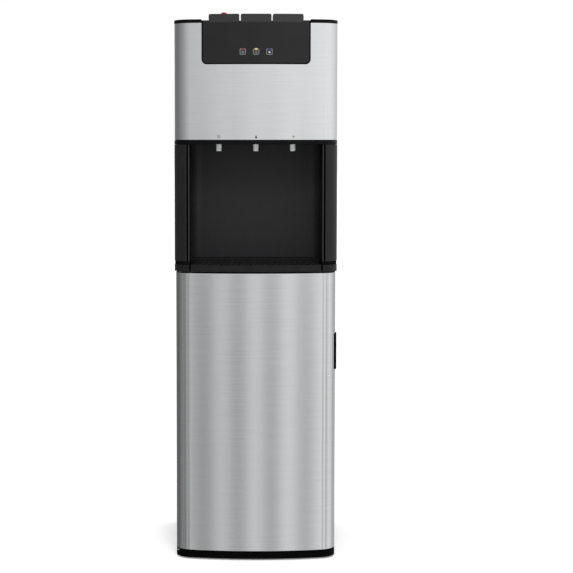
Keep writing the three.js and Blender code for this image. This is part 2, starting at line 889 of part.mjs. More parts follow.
function dripGrille() {
  const level = trayLevels();
  const x = trayHalf() - trayRim - fit;
  const rear = trayRearY() - trayRim - fit;
  const plate = casing(lipInset + lipThickness + fit, rear, level.grilleBottom, level.grilleTop)
    .intersect(block(-x, x, frontY, backY, level.grilleBottom - 1, level.grilleTop + 1));
  const columns = Math.floor((2 * (x - slotMargin) - slotWidth) / slotPitch);
  const slotFrontY = frontY + slotFrontSetback;
  const slotRearY = rear - slotRearMargin;
  const slotMiddleY = (slotFrontY + slotRearY) / 2;
  const slots = [];
  for (let column = 0; column <= columns; column += 1) {
    const middle = (column - columns / 2) * slotPitch;
    for (const [y0, y1] of [[slotFrontY, slotMiddleY - slotBridge / 2],
      [slotMiddleY + slotBridge / 2, slotRearY]]) {
      slots.push(block(middle - slotWidth / 2, middle + slotWidth / 2, y0, y1,
        level.grilleBottom - 1, level.grilleTop + 1));
    }
  }
  return piece('drip_grille', cut(plate, ...slots), satinBlack);
}

// ---------------------------------------------------------------------------------------
// Alcove and shoulder
// ---------------------------------------------------------------------------------------

// The plan of the alcove: straight sides, rounded rear corners and a flat back.
function alcoveShape(grow, frontLine) {
  const x = alcoveHalf + grow;
  const back = alcoveBackY + grow;
  const corner = alcoveCorner + grow;
  const shape = new THREE.Shape();
  shape.moveTo(-x, frontLine);
  shape.lineTo(x, frontLine);
  shape.absarc(x - corner, back - corner, corner, 0, 0.5 * Math.PI);
  shape.absarc(corner - x, back - corner, corner, 0.5 * Math.PI, Math.PI);
  shape.closePath();
  return shape;
}

function liningFrontY() {
  return cornerY - cornerRadius + 2 * wall + fit;
}

function alcoveLiner() {
  const z0 = surroundTop + fit;
  const z1 = alcoveCeiling + wall;
  const walls = cut(
    slab(alcoveShape(wall, liningFrontY()), z0, z1),
    slab(alcoveShape(0, frontY), z0 - 1, z1 + 1),
  );
  const ceiling = casing(trimFlange + fit, backY, alcoveCeiling, z1)
    .intersect(slab(alcoveShape(wall, frontY), alcoveCeiling, z1));
  const trimRoom = cut(
    block(-half, half, frontY - 1, cornerY, trimBottom - fit, z1 + 1),
    casing(trimFlange + fit, backY, trimBottom - 1, z1 + 2),
  );
  const tapHoles = tapPlaces.map((x) =>
    rodAlongZ(nozzleRadius + fit, alcoveCeiling - 1, z1 + 1, x, tapY));
  const solid = cut(join(walls, ceiling), trimRoom, ...tapHoles);
  return piece('alcove_liner', solid, satinBlack);
}

// A hollow moulding, open at its rear, that closes the front corner beside the alcove.
function pillar(name, side) {
  const z0 = surroundTop + fit;
  const z1 = trimBottom - fit;
  const inner = alcoveHalf + wall + fit;
  const outer = half + 1;
  const body = casing(0, mouldingBackY, z0, z1)
    .intersect(block(side * inner, side * outer, frontY - 1, backY, z0, z1));
  const hollow = casing(mouldingWall, backY, z0 - 1, z1 + 1).intersect(
    block(side * (inner + mouldingWall), side * outer, frontY - 1, backY, z0 - 1, z1 + 1));
  return piece(name, cut(body, hollow), glossBlack);
}

function shoulderTrim() {
  const flangeBack = frameY - fit;
  const strip = cut(
    casing(0, mouldingBackY, trimBottom, trimTop),
    casing(mouldingWall, backY, trimBottom - 1, trimTop + 1),
  );
  const flange = cut(
    casing(0, flangeBack, trimBottom, trimTop),
    casing(trimFlange, backY, trimBottom - 1, trimTop + 1),
  );
  return piece('shoulder_trim', join(strip, flange), glossBlack);
}

// ---------------------------------------------------------------------------------------
// Upper front, control panel and cap
// ---------------------------------------------------------------------------------------

function upperFrontPanel() {
  const sheetBody = cut(
    casing(steelInset, mouldingBackY, upperBottom, upperTop),
    casing(steelInset + sheet, backY, upperBottom - 1, upperTop + 1),
  );
  const notch = panelShape(panelHalf + panelGap, panelBottom - panelGap, capTop, panelCorner);
  return piece('upper_front_panel', cut(sheetBody, window(notch, frontY - 1, cornerY)), brushedSteel);
}

// The moulding behind the upper steel panel, with a window for the control panel's rib.
function frontHousing() {
  const inset = steelInset + sheet + fit;
  const shell = cut(
    casing(inset, frameY - fit, upperBottom, upperTop),
    casing(inset + wall, backY, upperBottom - 1, upperTop + 1),
  );
  const room = panelShape(ribX + fit, ribBottom - fit, capTop, fit);
  return piece('front_housing', cut(shell, window(room, frontY - 1, cornerY)), satinBlack);
}

// The visible front plate, low where the buttons are and high at both ends.
function fascia() {
  const plate = cut(
    casing(0, frameY, panelBottom, panelTop),
    casing(fasciaThickness, backY, panelBottom - 1, panelTop + 1),
  );
  const shaped = plate.intersect(
    window(panelShape(panelHalf, panelBottom, panelTop, panelCorner), frontY - 1, cornerY));
  const buttonRoom = block(-wellHalf, wellHalf, frontY - 1, cornerY, fasciaTop, panelTop + 1);
  return cut(shaped, buttonRoom);
}

// The two ends and the rear bar of the frame round the buttons, level with the cap.
function buttonFrame() {
  const across = casing(0, backY, capBottom, panelTop)
    .intersect(block(-panelHalf, panelHalf, frontY - 1, deckRearY, capBottom, panelTop));
  const opening = block(-wellHalf, wellHalf, frontY - 1, buttonRearY + buttonSideGap * 2,
    capBottom - 1, panelTop + 1);
  return cut(across, opening);
}

// Cheeks that hold the ends of the buttons' rod.
function rodCheeks() {
  return [-1, 1].map((side) => block(
    side * wellHalf,
    side * (wellHalf + cheekThickness),
    rodY - cheekDepth / 2,
    deckRearY,
    rodZ - cheekDepth,
    panelTop - 1,
  ));
}

function rodHole() {
  const end = wellHalf + rodSeat;
  return rodAlongX(rodRadius + fit, -end, end, rodY, rodZ);
}

function indicatorZ() {
  return panelTop - indicatorDrop;
}

function controlPanel() {
  const ribBody = cut(
    casing(fasciaThickness - 1, frameY, ribBottom, ribTop),
    casing(ribDepth, backY, ribBottom - 1, ribTop + 1),
  ).intersect(block(-ribX, ribX, frontY, cornerY, ribBottom, ribTop));
  const rib = cut(ribBody,
    block(wall - ribX, ribX - wall, frontY, cornerY, ribBottom + wall, ribTop + 1));
  const posts = [];
  for (const x of [-postHalfX, postHalfX]) {
    for (const z of [boardBottom + postInset, boardTop - postInset]) {
      const postFront = frontY + bowDrop(postHalfX - postRadius) + fasciaThickness / 2;
      posts.push(rodAlongY(postRadius, postFront, boardY - fit, x, z, 12));
    }
  }
  const room = indicatorSide / 2 + fit;
  const windows = [-indicatorSpacing, 0, indicatorSpacing].map((x) =>
    block(x - room, x + room, frontY - 1, frontY + ribDepth / 2, indicatorZ() - room,
      indicatorZ() + room));
  const whole = join(fascia(), rib, buttonFrame(), ...rodCheeks(), ...posts);
  return piece('control_panel', cut(whole, rodHole(), ...windows), glossBlack);
}

// How far the bowed front has fallen back at a distance from the middle.
function bowDrop(x) {
  return bowRadius - Math.sqrt(bowRadius ** 2 - x ** 2);
}

function indicator([name, x, material]) {
  const side = indicatorSide / 2;
  const y0 = bowDrop(Math.abs(x) + side) + indicatorRecess;
  const solid = block(-side, side, 0, fasciaThickness, -side, side);
  return placed(piece(name, solid, material), x, frontY + y0, indicatorZ());
}

function indicators() {
  const places = [
    ['indicator_hot', -indicatorSpacing, redLens],
    ['indicator_normal', 0, amberLens],
    ['indicator_cold', indicatorSpacing, blueLens],
  ];
  return places.map(indicator);
}

// The circuit board behind the panel, with a small switch below each button.
function controlBoard() {
  const plate = block(-boardHalf, boardHalf, boardY, boardY + boardThickness, boardBottom, boardTop);
  const switches = buttonPlaces.map((x) => block(
    x - microSwitch / 2,
    x + microSwitch / 2,
    boardY,
    boardY + microSwitch,
    boardTop - 1,
    boardTop + microSwitchRise,
  ));
  return piece('control_board', join(plate, ...switches), boardGreen);
}

function topCap() {
  const notchX = panelHalf + fit;
  const notchY = deckRearY + fit;
  const border = wall + fit;
  const inside = cut(
    casing(half - liningX, backY - rearFlange / 3, capBottom - 1, capTop - wall),
    block(-notchX - border, notchX + border, frontY, notchY + border, capBottom - 2, capTop),
  );
  const solid = cut(
    casing(0, backY, capBottom, capTop),
    inside,
    block(-notchX, notchX, frontY - 1, notchY, capBottom - 1, capTop + 1),
  );
  return piece('top_cap', solid, satinBlack);
}

// ---------------------------------------------------------------------------------------
// Buttons and child lock
// ---------------------------------------------------------------------------------------

function buttonRod() {
  const end = wellHalf + rodSeat - fit;
  return piece('button_rod', rodAlongX(rodRadius, -end, end, rodY, rodZ), plainSteel);
}

function lockY() {
  return boardY - microSwitch / 2;
}

function pushButton([name, x], lockSlot) {
  const side = buttonWidth / 2;
  const shape = buttonShape(x, side, buttonBottom, buttonTop, buttonCorner);
  const body = casing(buttonInset, backY, buttonBottom, buttonTop)
    .intersect(window(shape, frontY, buttonRearY));
  const inner = side - buttonWall;
  const hollowTop = buttonTop - buttonWall;
  const hollow = casing(buttonInset + buttonWall, backY, buttonBottom - 1, hollowTop).intersect(
    block(x - inner, x + inner, frontY, buttonRearY - buttonBeam, buttonBottom - 1, buttonTop));
  const plungerY = boardY + microSwitch / 2;
  const plunger = block(x - plungerHalf, x + plungerHalf, plungerY - plungerHalf,
    plungerY + plungerHalf, buttonBottom - plungerReach, buttonTop - 1);
  const bore = rodAlongX(rodRadius + fit, x - side - 1, x + side + 1, rodY, rodZ);
  const solid = cut(join(cut(body, hollow), plunger), bore);
  return piece(name, lockSlot ? cut(solid, lockSlot) : solid, glossBlack);
}

function lockSlot() {
  const y0 = lockY() - lockStemLength / 2 - fit;
  const y1 = lockY() + lockStemLength / 2 + lockTravel + fit;
  const x = -buttonPitch;
  const room = lockStem / 2 + fit;
  return block(x - room, x + room, y0, y1, buttonTop - buttonWall - 1, buttonTop + 1);
}

// A sliding key on the hot button; its foot runs below the button's top.
function childLock() {
  const x = -buttonPitch;
  const y = lockY();
  const stemBottom = buttonTop - buttonWall - fit;
  const stemY = lockStemLength / 2;
  const solid = join(
    block(x - lockWidth / 2, x + lockWidth / 2, y - lockLength / 2, y + lockLength / 2,
      buttonTop + fit, lockTop),
    block(x - lockStem / 2, x + lockStem / 2, y - stemY, y + stemY, stemBottom - 1, lockTop - 1),
    block(x - lockFootWidth / 2, x + lockFootWidth / 2, y - stemY, y + stemY,
      stemBottom - lockFoot, stemBottom),
  );
  return piece('child_lock', solid, redPlastic);
}

// ---------------------------------------------------------------------------------------
// Taps
// ---------------------------------------------------------------------------------------

function nozzle(name, x) {
  const top = nozzleTop - nozzleBottom;
  const seat = nozzleSeat - nozzleBottom;
  const solid = turned([
    [nozzleBore, 0],
    [nozzleRadius, 0],
    [nozzleRadius, seat],
    [nozzleFlangeRadius, seat],
    [nozzleFlangeRadius, top],
    [nozzleBore, top],
    [nozzleBore, 0],
  ]);
  return placed(piece(name, solid, paleGrey), x, tapY, nozzleBottom);
}

// A valve body on its nozzle, with its coil on top and its inlet at the rear.
function valve(name, x) {
  const solid = join(
    block(-valveWidth / 2, valveWidth / 2, -valveDepth / 2, valveDepth / 2, 0, valveHeight),
    rodAlongZ(coilRadius, valveHeight - 1, valveHeight + coilHeight, 0, 0),
    rodAlongY(inletRadius, valveDepth / 2 - 1, valveDepth / 2 + inletLength, 0, valveHeight / 2, 12),
  );
  return placed(piece(name, solid, whitePlastic), x, tapY, nozzleTop + fit);
}

function taps() {
  const names = ['hot', 'normal', 'cold'];
  return tapPlaces.flatMap((x, i) => [
    nozzle(`${names[i]}_nozzle`, x),
    valve(`${names[i]}_valve`, x),
  ]);
}

// ---------------------------------------------------------------------------------------
// Tanks, cooling and pump
// ---------------------------------------------------------------------------------------

function shelfBottom() {
  return trimTop + shelfRise;
}

function tankShelf() {
  const z0 = shelfBottom();
  const shelfFrontY = tapY + valveDepth / 2 + inletLength + shelfSetback;
  const solid = block(-liningX, liningX, shelfFrontY, rearPanelY - sheet - fit, z0, z0 + sheet);
  return piece('tank_shelf', solid, greySheet);
}

// A domed cylinder with a neck, and a raised band where a profile asks for one.
function tank(name, radius, height, band, material, x, y) {
  const bandTop = band ? heaterBandHeight : 0;
  const profile = [
    [0, 0],
    [radius + band, 0],
    [radius + band, bandTop],
    [radius, bandTop],
    [radius, height - tankDome],
    [radius - tankDome, height],
    [tankNeckRadius, height],
    [tankNeckRadius, height + tankNeckHeight],
    [0, height + tankNeckHeight],
  ];
  const distinct = profile.filter(([r, h], i) =>
    i === 0 || r !== profile[i - 1][0] || h !== profile[i - 1][1]);
  const z = shelfBottom() + sheet + fit;
  return placed(piece(name, turned(distinct, 28), material), x, y, z);
}

function compressor() {
  const plateBottom = compressorFootHeight;
  const plateTop = plateBottom + compressorPlate;
  const top = plateTop + compressorHeight;
  const shoulder = compressorRadius / 3;
  const shell = turned([
    [0, plateTop - 1],
    [compressorRadius - shoulder / 2, plateTop - 1],
    [compressorRadius, plateTop + shoulder],
    [compressorRadius, top - shoulder],
    [compressorRadius - shoulder, top - shoulder / 4],
    [0, top],
  ], 24);
  const footX = compressorPlateHalfX - compressorFootRadius - 1;
  const footY = compressorPlateHalfY - compressorFootRadius - 1;
  const feet = [];
  for (const x of [-footX, footX]) {
    for (const y of [-footY, footY]) {
      feet.push(rodAlongZ(compressorFootRadius, 0, plateBottom + 1, x, y, 12));
    }
  }
  const plate = block(-compressorPlateHalfX, compressorPlateHalfX, -compressorPlateHalfY,
    compressorPlateHalfY, plateBottom, plateTop);
  const solid = join(shell, plate, ...feet);
  return placed(piece('compressor', solid, blackSheet), compressorX, compressorY, deckTop + fit);
}

// One tube that runs to and fro across the bay, turning at alternate ends.
function condenserCoil() {
  const radius = condenserPitch / 2;
  const turnSteps = 6;
  const path = [];
  for (let run = 0; run < condenserRuns; run += 1) {
    const side = run % 2 ? -1 : 1;
    const z = condenserBottom + run * condenserPitch;
    path.push(new THREE.Vector2(-side * condenserHalf, z));
    if (run === condenserRuns - 1) {
      path.push(new THREE.Vector2(side * condenserHalf, z));
      break;
    }
    for (let step = 0; step < turnSteps; step += 1) {
      const angle = (Math.PI * step) / turnSteps;
      path.push(new THREE.Vector2(
        side * (condenserHalf + radius * Math.sin(angle)),
        z + radius * (1 - Math.cos(angle)),
      ));
    }
  }
  const mesh = piece('condenser_coil', flatTube(path, condenserTube, 8), blackSheet);
  return placed(mesh, 0, condenserY, 0);
}

// The pump stands on the deck; its inlet passes down through the deck to the hose.
function waterPump() {
  const base = deckTop + fit;
  const solid = join(
    block(pumpX - pumpRadius, pumpX + pumpRadius, pumpY - pumpRadius, pumpY + pumpRadius,
      base, base + pumpBase),
    rodAlongZ(pumpRadius - 2, base + pumpBase - 1, base + pumpHeight, pumpX, pumpY, 20),
    rodAlongZ(pumpInletRadius, deckBottom - pumpBase, base + 1, pumpX, pumpY),
    rodAlongY(pumpInletRadius, pumpY - pumpRadius - pumpBase, pumpY, pumpX, base + pumpHeight / 2, 12),
  );
  return piece('water_pump', solid, satinBlack);
}

// ---------------------------------------------------------------------------------------
// Probe for the bottle
// ---------------------------------------------------------------------------------------

function collarTop() {
  return collarBottom + collarHeight + collarNeckHeight;
}

// A short hose from the pump's inlet down to the parked probe.
function suctionHose() {
  const top = new THREE.Vector3(pumpX, pumpY, deckBottom - pumpBase - fit);
  const end = new THREE.Vector3(probeX, probeY, collarTop() + fit);
  const ease = (top.z - end.z) / 3;
  const path = new THREE.CubicBezierCurve3(
    top,
    new THREE.Vector3(top.x, top.y, top.z - ease),
    new THREE.Vector3(end.x, end.y, end.z + ease),
    end,
  );
  const ring = new THREE.Shape();
  ring.absarc(0, 0, hoseRadius, 0, 2 * Math.PI);
  const tube = new THREE.ExtrudeGeometry(ring, { steps: 10, curveSegments: 5, extrudePath: path });
  return piece('suction_hose', solidOf(tube), hosePlastic);
}

// The cap that closes the bottle's mouth, with a skirt below and a neck above.
function probeCollar() {
  const bore = probeTubeRadius + fit;
  const profile = [
    [bore, 0],
    [collarRadius, 0],
    [collarRadius, collarHeight],
    [collarNeckRadius, collarHeight],
    [collarNeckRadius, collarHeight + collarNeckHeight],
    [bore, collarHeight + collarNeckHeight],
    [bore, 0],
  ];
  return placed(piece('probe_collar', turned(profile), whitePlastic), probeX, probeY, collarBottom);
}

function probeTube() {
  const top = collarTop() - probeBottom;
  const profile = [
    [probeTubeBore, 0],
    [probeTubeRadius, 0],
    [probeTubeRadius, top],
    [probeTubeBore, top],
    [probeTubeBore, 0],
  ];
  return placed(piece('probe_tube', turned(profile, 14), plainSteel), probeX, probeY, probeBottom);
}

// A bracket on the rear panel; the collar rests on its shelf and the tube hangs through it.
function probeClip() {
  const shelfTop = collarBottom - fit;
  const shelfZ = shelfTop - clipThickness;
  const frontEdge = probeY - clipHalf;
  const solid = cut(
    join(
      block(probeX - clipHalf, probeX + clipHalf, sheetInnerBackY - clipThickness, sheetInnerBackY,
        shelfTop - clipBackHeight, shelfTop),
      block(probeX - clipHalf, probeX + clipHalf, frontEdge, sheetInnerBackY, shelfZ, shelfTop),
    ),
    rodAlongZ(probeTubeRadius + fit, shelfZ - 1, shelfTop + 1, probeX, probeY),
    block(probeX - probeTubeRadius - fit, probeX + probeTubeRadius + fit, frontEdge - 1, probeY,
      shelfZ - 1, shelfTop + 1),
  );
  return piece('probe_clip', solid, satinBlack);
}

// ---------------------------------------------------------------------------------------
// Fittings at the rear
// ---------------------------------------------------------------------------------------

function facingRear(mesh, x, z) {
  mesh.rotation.x = -Math.PI / 2;
  return placed(mesh, x, rearPanelY, z);
}

function drainSpigot() {
  const solid = turned([
    [spigotBore, -spigotFlange],
    [spigotRadius, -spigotFlange],
    [spigotRadius, fit],
    [spigotFlange, fit],
    [spigotFlange, capStart - fit],
    [spigotRadius, capStart - fit],
    [spigotRadius, spigotLength],
    [spigotBore, spigotLength],
    [spigotBore, -spigotFlange],
  ]);
  return facingRear(piece('drain_spigot', solid, whitePlastic), drainX, drainZ);
}

function drainCap() {
  const inner = spigotRadius + fit;
  const end = spigotLength + fit;
  const solid = turned([
    [inner, capStart],
    [inner + capWall, capStart],
    [inner + capWall, end + capWall],
    [0, end + capWall],
    [0, end],
    [inner, end],
    [inner, capStart],
  ]);
  return facingRear(piece('drain_cap', solid, satinBlack), drainX, drainZ);
}

// The bushing that a power cord would leave through.
function cordGland() {
  const neck = glandRadius - wall;
  const solid = turned([
    [glandBore, -glandRadius],
    [neck, -glandRadius],
    [neck, fit],
    [glandRadius, fit],
    [glandRadius, wall],
    [neck, glandRadius],
    [glandBore, glandRadius],
    [glandBore, -glandRadius],
  ]);
  return facingRear(piece('cord_gland', solid, rubber), glandX, glandZ);
}

function rockerPlaces() {
  return [
    ['rocker_hot', -switchSpacing, redPlastic],
    ['rocker_cold', 0, glossBlack],
    ['rocker_light', switchSpacing, glossBlack],
  ];
}

function switchBodyHalf() {
  const wellHalfX = rockerWidth / 2 + wellMargin;
  return [
    switchSpacing + wellHalfX + axleSeat + wall,
    rockerHeight / 2 + wellEndMargin + wall,
  ];
}

function rockerY() {
  return rearPanelY + fit + switchPlate - rockerDepth;
}

function switchPlateBody() {
  const [bodyX, bodyZ] = switchBodyHalf();
  const face = rearPanelY + fit;
  const wells = rockerPlaces().flatMap(([, x]) => {
    const wellX = rockerWidth / 2 + wellMargin;
    const wellZ = rockerHeight / 2 + wellEndMargin;
    const axleX = rockerWidth / 2 + axleSeat + fit;
    return [
      block(x - wellX, x + wellX, face - switchBody - 1, face + switchPlate + 1, -wellZ, wellZ),
      rodAlongX(axleRadius + fit, x - axleX, x + axleX, rockerY(), 0, 12),
    ];
  });
  const solid = cut(
    join(
      block(-bodyX, bodyX, face - switchBody, face + 1, -bodyZ, bodyZ),
      block(-bodyX - switchFrame, bodyX + switchFrame, face, face + switchPlate,
        -bodyZ - switchFrame / 2, bodyZ + switchFrame / 2),
    ),
    ...wells,
  );
  return placed(piece('switch_plate', solid, satinBlack), switchX, 0, switchZ);
}

// A rocker with a shallow valley across its face, tipped to one side.
function rocker([name, x, material]) {
  const high = rockerHeight / 2;
  const valley = rockerDepth * 0.7;
  const shape = new THREE.Shape([
    new THREE.Vector2(-rockerDepth, high / 2),
    new THREE.Vector2(-rockerDepth, -high / 2),
    new THREE.Vector2(rockerDepth, -high),
    new THREE.Vector2(valley, 0),
    new THREE.Vector2(rockerDepth, high),
  ]);
  const body = new THREE.ExtrudeGeometry(shape, { depth: rockerWidth, bevelEnabled: false });
  body.translate(0, 0, -rockerWidth / 2);
  body.rotateX(Math.PI / 2);
  body.rotateZ(Math.PI / 2);
  const axle = rockerWidth / 2 + axleSeat;
  const solid = join(solidOf(body), rodAlongX(axleRadius, -axle, axle, 0, 0, 12));
  const mesh = placed(piece(name, solid, material), switchX + x, rockerY(), switchZ);
  mesh.rotation.x = THREE.MathUtils.degToRad(-rockerTilt);
  return mesh;
}

// ---------------------------------------------------------------------------------------
// Assembly
// ---------------------------------------------------------------------------------------

const cabinet = group(
  ...footPlaces().map(foot),
  basePlinth(),
  hingeBracket('lower_hinge_bracket', plinthTop, 1),
  hingeBracket('upper_hinge_bracket', surroundBottom, -1),
  sidePanel('left_side_panel', -1),
  sidePanel('right_side_panel', 1),
  bottleFloor(),
  midDeck(),
  rearPanelLower(),
  rearPanelUpper(),
);

const door = group(doorSkin(), doorInnerPanel(), doorGasket(), doorHandle());

const alcove = group(
  traySurround(),
  dripTray(),
  dripGrille(),
  alcoveLiner(),
  pillar('left_pillar', -1),
  pillar('right_pillar', 1),
  shoulderTrim(),
  ...taps(),
);

const upperBody = group(
  upperFrontPanel(),
  frontHousing(),
  controlPanel(),
  ...indicators(),
  controlBoard(),
  topCap(),
  buttonRod(),
  pushButton(['hot_button', buttonPlaces[0]], lockSlot()),
  pushButton(['normal_button', buttonPlaces[1]]),
  pushButton(['cold_button', buttonPlaces[2]]),
  childLock(),
);

const workings = group(
  tankShelf(),
  tank('cold_tank', coldTankRadius, coldTankHeight, 0, foam, coldTankX, coldTankY),
  tank('hot_tank', hotTankRadius, hotTankHeight, heaterBand, plainSteel, hotTankX, hotTankY),
  compressor(),
  condenserCoil(),
  waterPump(),
  suctionHose(),
  probeCollar(),
  probeTube(),
  probeClip(),
);

const rearFittings = group(
  drainSpigot(),
  drainCap(),
  cordGland(),
  switchPlateBody(),
  ...rockerPlaces().map(rocker),
);

export default group(cabinet, door, alcove, upperBody, workings, rearFittings);
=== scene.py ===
"""A floor-standing water cooler with its bottle in a cabinet below, dressed over its CAD frame.

Metres, +Z up. The front faces -Y and the origin lies on the floor. The script follows the cooler
as it is put together, from its feet to its top, and ends with the studio that it stands in.
"""

import json
import math

import bmesh
import bpy
from mathutils import Matrix, Vector


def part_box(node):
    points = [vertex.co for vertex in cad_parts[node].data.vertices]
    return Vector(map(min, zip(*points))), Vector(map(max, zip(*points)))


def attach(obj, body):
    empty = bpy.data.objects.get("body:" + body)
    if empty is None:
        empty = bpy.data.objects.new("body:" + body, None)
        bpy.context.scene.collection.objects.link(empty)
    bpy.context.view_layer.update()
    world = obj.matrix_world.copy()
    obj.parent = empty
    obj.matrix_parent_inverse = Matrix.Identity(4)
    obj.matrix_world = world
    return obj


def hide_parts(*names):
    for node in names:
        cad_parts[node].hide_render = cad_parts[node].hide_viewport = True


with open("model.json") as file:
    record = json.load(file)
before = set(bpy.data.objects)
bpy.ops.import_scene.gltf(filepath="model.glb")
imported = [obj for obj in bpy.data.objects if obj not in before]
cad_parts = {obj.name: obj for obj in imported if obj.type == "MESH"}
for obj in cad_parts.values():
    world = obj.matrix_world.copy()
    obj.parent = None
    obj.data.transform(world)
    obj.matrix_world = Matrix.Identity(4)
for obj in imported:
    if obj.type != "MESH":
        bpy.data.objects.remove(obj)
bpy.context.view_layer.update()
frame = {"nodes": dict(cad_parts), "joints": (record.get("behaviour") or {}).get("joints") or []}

# ---------------------------------------------------------------------------------------------
# Feet
# Four discs of moulded natural rubber, pushed into the plinth by their stems. Rubber this soft
# has a dull, slightly dusty skin with no clear highlight.
# ---------------------------------------------------------------------------------------------

MM = 0.001
PER_METRE = 1000  # a pattern's scale counts its marks in a metre
FEET = ("foot_front_left", "foot_front_right", "foot_rear_left", "foot_rear_right")


def linear(hex_colour):
    """An sRGB hex colour as linear RGBA."""
    channels = [int(hex_colour[i : i + 2], 16) / 255 for i in (0, 2, 4)]
    turned = [c / 12.92 if c <= 0.04045 else ((c + 0.055) / 1.055) ** 2.4 for c in channels]
    return (*turned, 1.0)


def set_inputs(tree, node, inputs):
    """Sets a node's sockets, by their identifiers, to values or to links."""
    sockets = {socket.identifier: socket for socket in node.inputs}
    for name, value in inputs.items():
        if isinstance(value, bpy.types.NodeSocket):
            tree.links.new(value, sockets[name])
        else:
            sockets[name].default_value = value


def add_node(tree, kind, inputs=None, **settings):
    """A new shader node with its settings and its inputs."""
    node = tree.nodes.new("ShaderNode" + kind)
    for name, value in settings.items():
        setattr(node, name, value)
    set_inputs(tree, node, inputs or {})
    return node


def start_material(name):
    """A new material, its node tree, its shader and its object coordinates."""
    material = bpy.data.materials.new(name)
    material.use_nodes = True
    tree = material.node_tree
    coords = add_node(tree, "TexCoord").outputs["Object"]
    return material, tree, tree.nodes["Principled BSDF"], coords


FLOW = 30  # times the grain, the size of the soft clouds in a moulding's colour and sheen
NOISE_SPAN = {"From Min": 0.3, "From Max": 0.7}  # where nearly all of a noise's values lie


def two_tone(tree, value, dark, light, rough):
    """The sockets of a surface that drifts between two close colours and two roughnesses."""
    spread = {"Value": value, **NOISE_SPAN}
    share = add_node(tree, "MapRange", spread)
    sheen = add_node(tree, "MapRange", {**spread, "To Min": rough[0], "To Max": rough[1]})
    tints = {
        "Factor_Float": share.outputs["Result"],
        "A_Color": linear(dark),
        "B_Color": linear(light),
    }
    tint = add_node(tree, "Mix", tints, data_type="RGBA")
    return {"Base Color": tint.outputs[2], "Roughness": sheen.outputs["Result"]}


def moulded(name, dark, light, rough, grain, depth, level=0.5):
    """A moulded plastic or rubber: soft clouds of colour and sheen under a grained skin.

    The grain is its marks' size and the depth their height, both in millimetres.
    """
    material, tree, shader, coords = start_material(name)
    clouds = add_node(tree, "TexNoise", {"Vector": coords, "Scale": PER_METRE / (FLOW * grain)})
    grains = add_node(tree, "TexNoise", {"Vector": coords, "Scale": PER_METRE / grain})
    skin = add_node(tree, "Bump", {"Height": grains.outputs["Fac"], "Distance": depth * MM})
    look = {
        **two_tone(tree, clouds.outputs["Fac"], dark, light, rough),
        "Specular IOR Level": level,
        "Normal": skin.outputs["Normal"],
    }
    set_inputs(tree, shader, look)
    return material


SHARP_TURN = math.radians(35)  # edges sharper than this are rounded
FLAT_TURN = math.radians(0.1)  # faces nearer than this lie in one plane


def soften(thing, edge, segments=2):
    """Rounds an object's sharp edges by edge millimetres and shades it smoothly."""
    bevel = thing.modifiers.new("edges", "BEVEL")
    bevel.width = edge * MM
    bevel.segments = segments
    bevel.limit_method = "ANGLE"
    bevel.angle_limit = SHARP_TURN
    thing.data.shade_smooth()
    thing.modifiers.new("normals", "WEIGHTED_NORMAL").weight = 100


def dress(name, material, edge=0.3, segments=2):
    """Gives a CAD node its finish, joins its loose triangles and rounds its edges."""
    node = frame["nodes"][name]
    node.data.materials.clear()
    node.data.materials.append(material)
    node.modifiers.new("weld", "WELD").merge_threshold = 0.01 * MM
    flats = node.modifiers.new("flats", "DECIMATE")
    flats.decimate_type = "DISSOLVE"
    flats.angle_limit = FLAT_TURN
    soften(node, edge, segments)


foot_rubber = moulded("natural_rubber", "1c1c1d", "262627", (0.75, 0.9), 0.5, 0.03, level=0.3)
for foot in FEET:
    dress(foot, foot_rubber)

# ---------------------------------------------------------------------------------------------
# Plinth
# A skirt moulded in black polypropylene that closes the cabinet at the floor. Its spark-eroded
# grain gives a deep satin black with hardly any highlight.
# ---------------------------------------------------------------------------------------------

satin_polypropylene = moulded(
    "satin_polypropylene", "020203", "040405", (0.5, 0.62), 0.6, 0.012, level=0.03
)
dress("base_plinth", satin_polypropylene, 0.6)

# ---------------------------------------------------------------------------------------------
# Cabinet sheets
# Folded mild steel, powder-coated black and screwed together. The coat flows out to a fine
# orange peel that breaks up each highlight.
# ---------------------------------------------------------------------------------------------

PEEL = 1.6  # mm, from one hump of the paint to the next
PEEL_DEPTH = 0.06  # mm
CLOUD = 60  # mm, slow drifts of the sprayed film
POWDER_ROUGH = (0.44, 0.49)
CABINET_SHEETS = ("left_side_panel", "right_side_panel", "rear_panel_lower", "rear_panel_upper")


def powder_coat(name, dark, light):
    """Powder paint on metal."""
    material, tree, shader, coords = start_material(name)
    clouds = add_node(tree, "TexNoise", {"Vector": coords, "Scale": PER_METRE / CLOUD})
    drawn = {"Vector": coords, "Scale": PER_METRE / PEEL, "Detail": 4.0}
    peel = add_node(tree, "TexNoise", drawn)
    skin = add_node(tree, "Bump", {"Height": peel.outputs["Fac"], "Distance": PEEL_DEPTH * MM})
    look = {
        **two_tone(tree, clouds.outputs["Fac"], dark, light, POWDER_ROUGH),
        "Normal": skin.outputs["Normal"],
    }
    set_inputs(tree, shader, look)
    return material


black_powder_coat = powder_coat("black_powder_coat", "18191b", "1c1d1f")
for sheet in CABINET_SHEETS:
    dress(sheet, black_powder_coat)

# ---------------------------------------------------------------------------------------------
# Floors and shelf
# Pressed from hot-dip galvanised steel and spot-welded to the sides. The zinc shows a soft grey
# spangle of flat crystals, each with its own sheen.
# ---------------------------------------------------------------------------------------------

SPANGLE = 14  # mm, across a zinc crystal
ZINC_GRAIN = 0.8  # mm
ZINC_DEPTH = 0.01  # mm


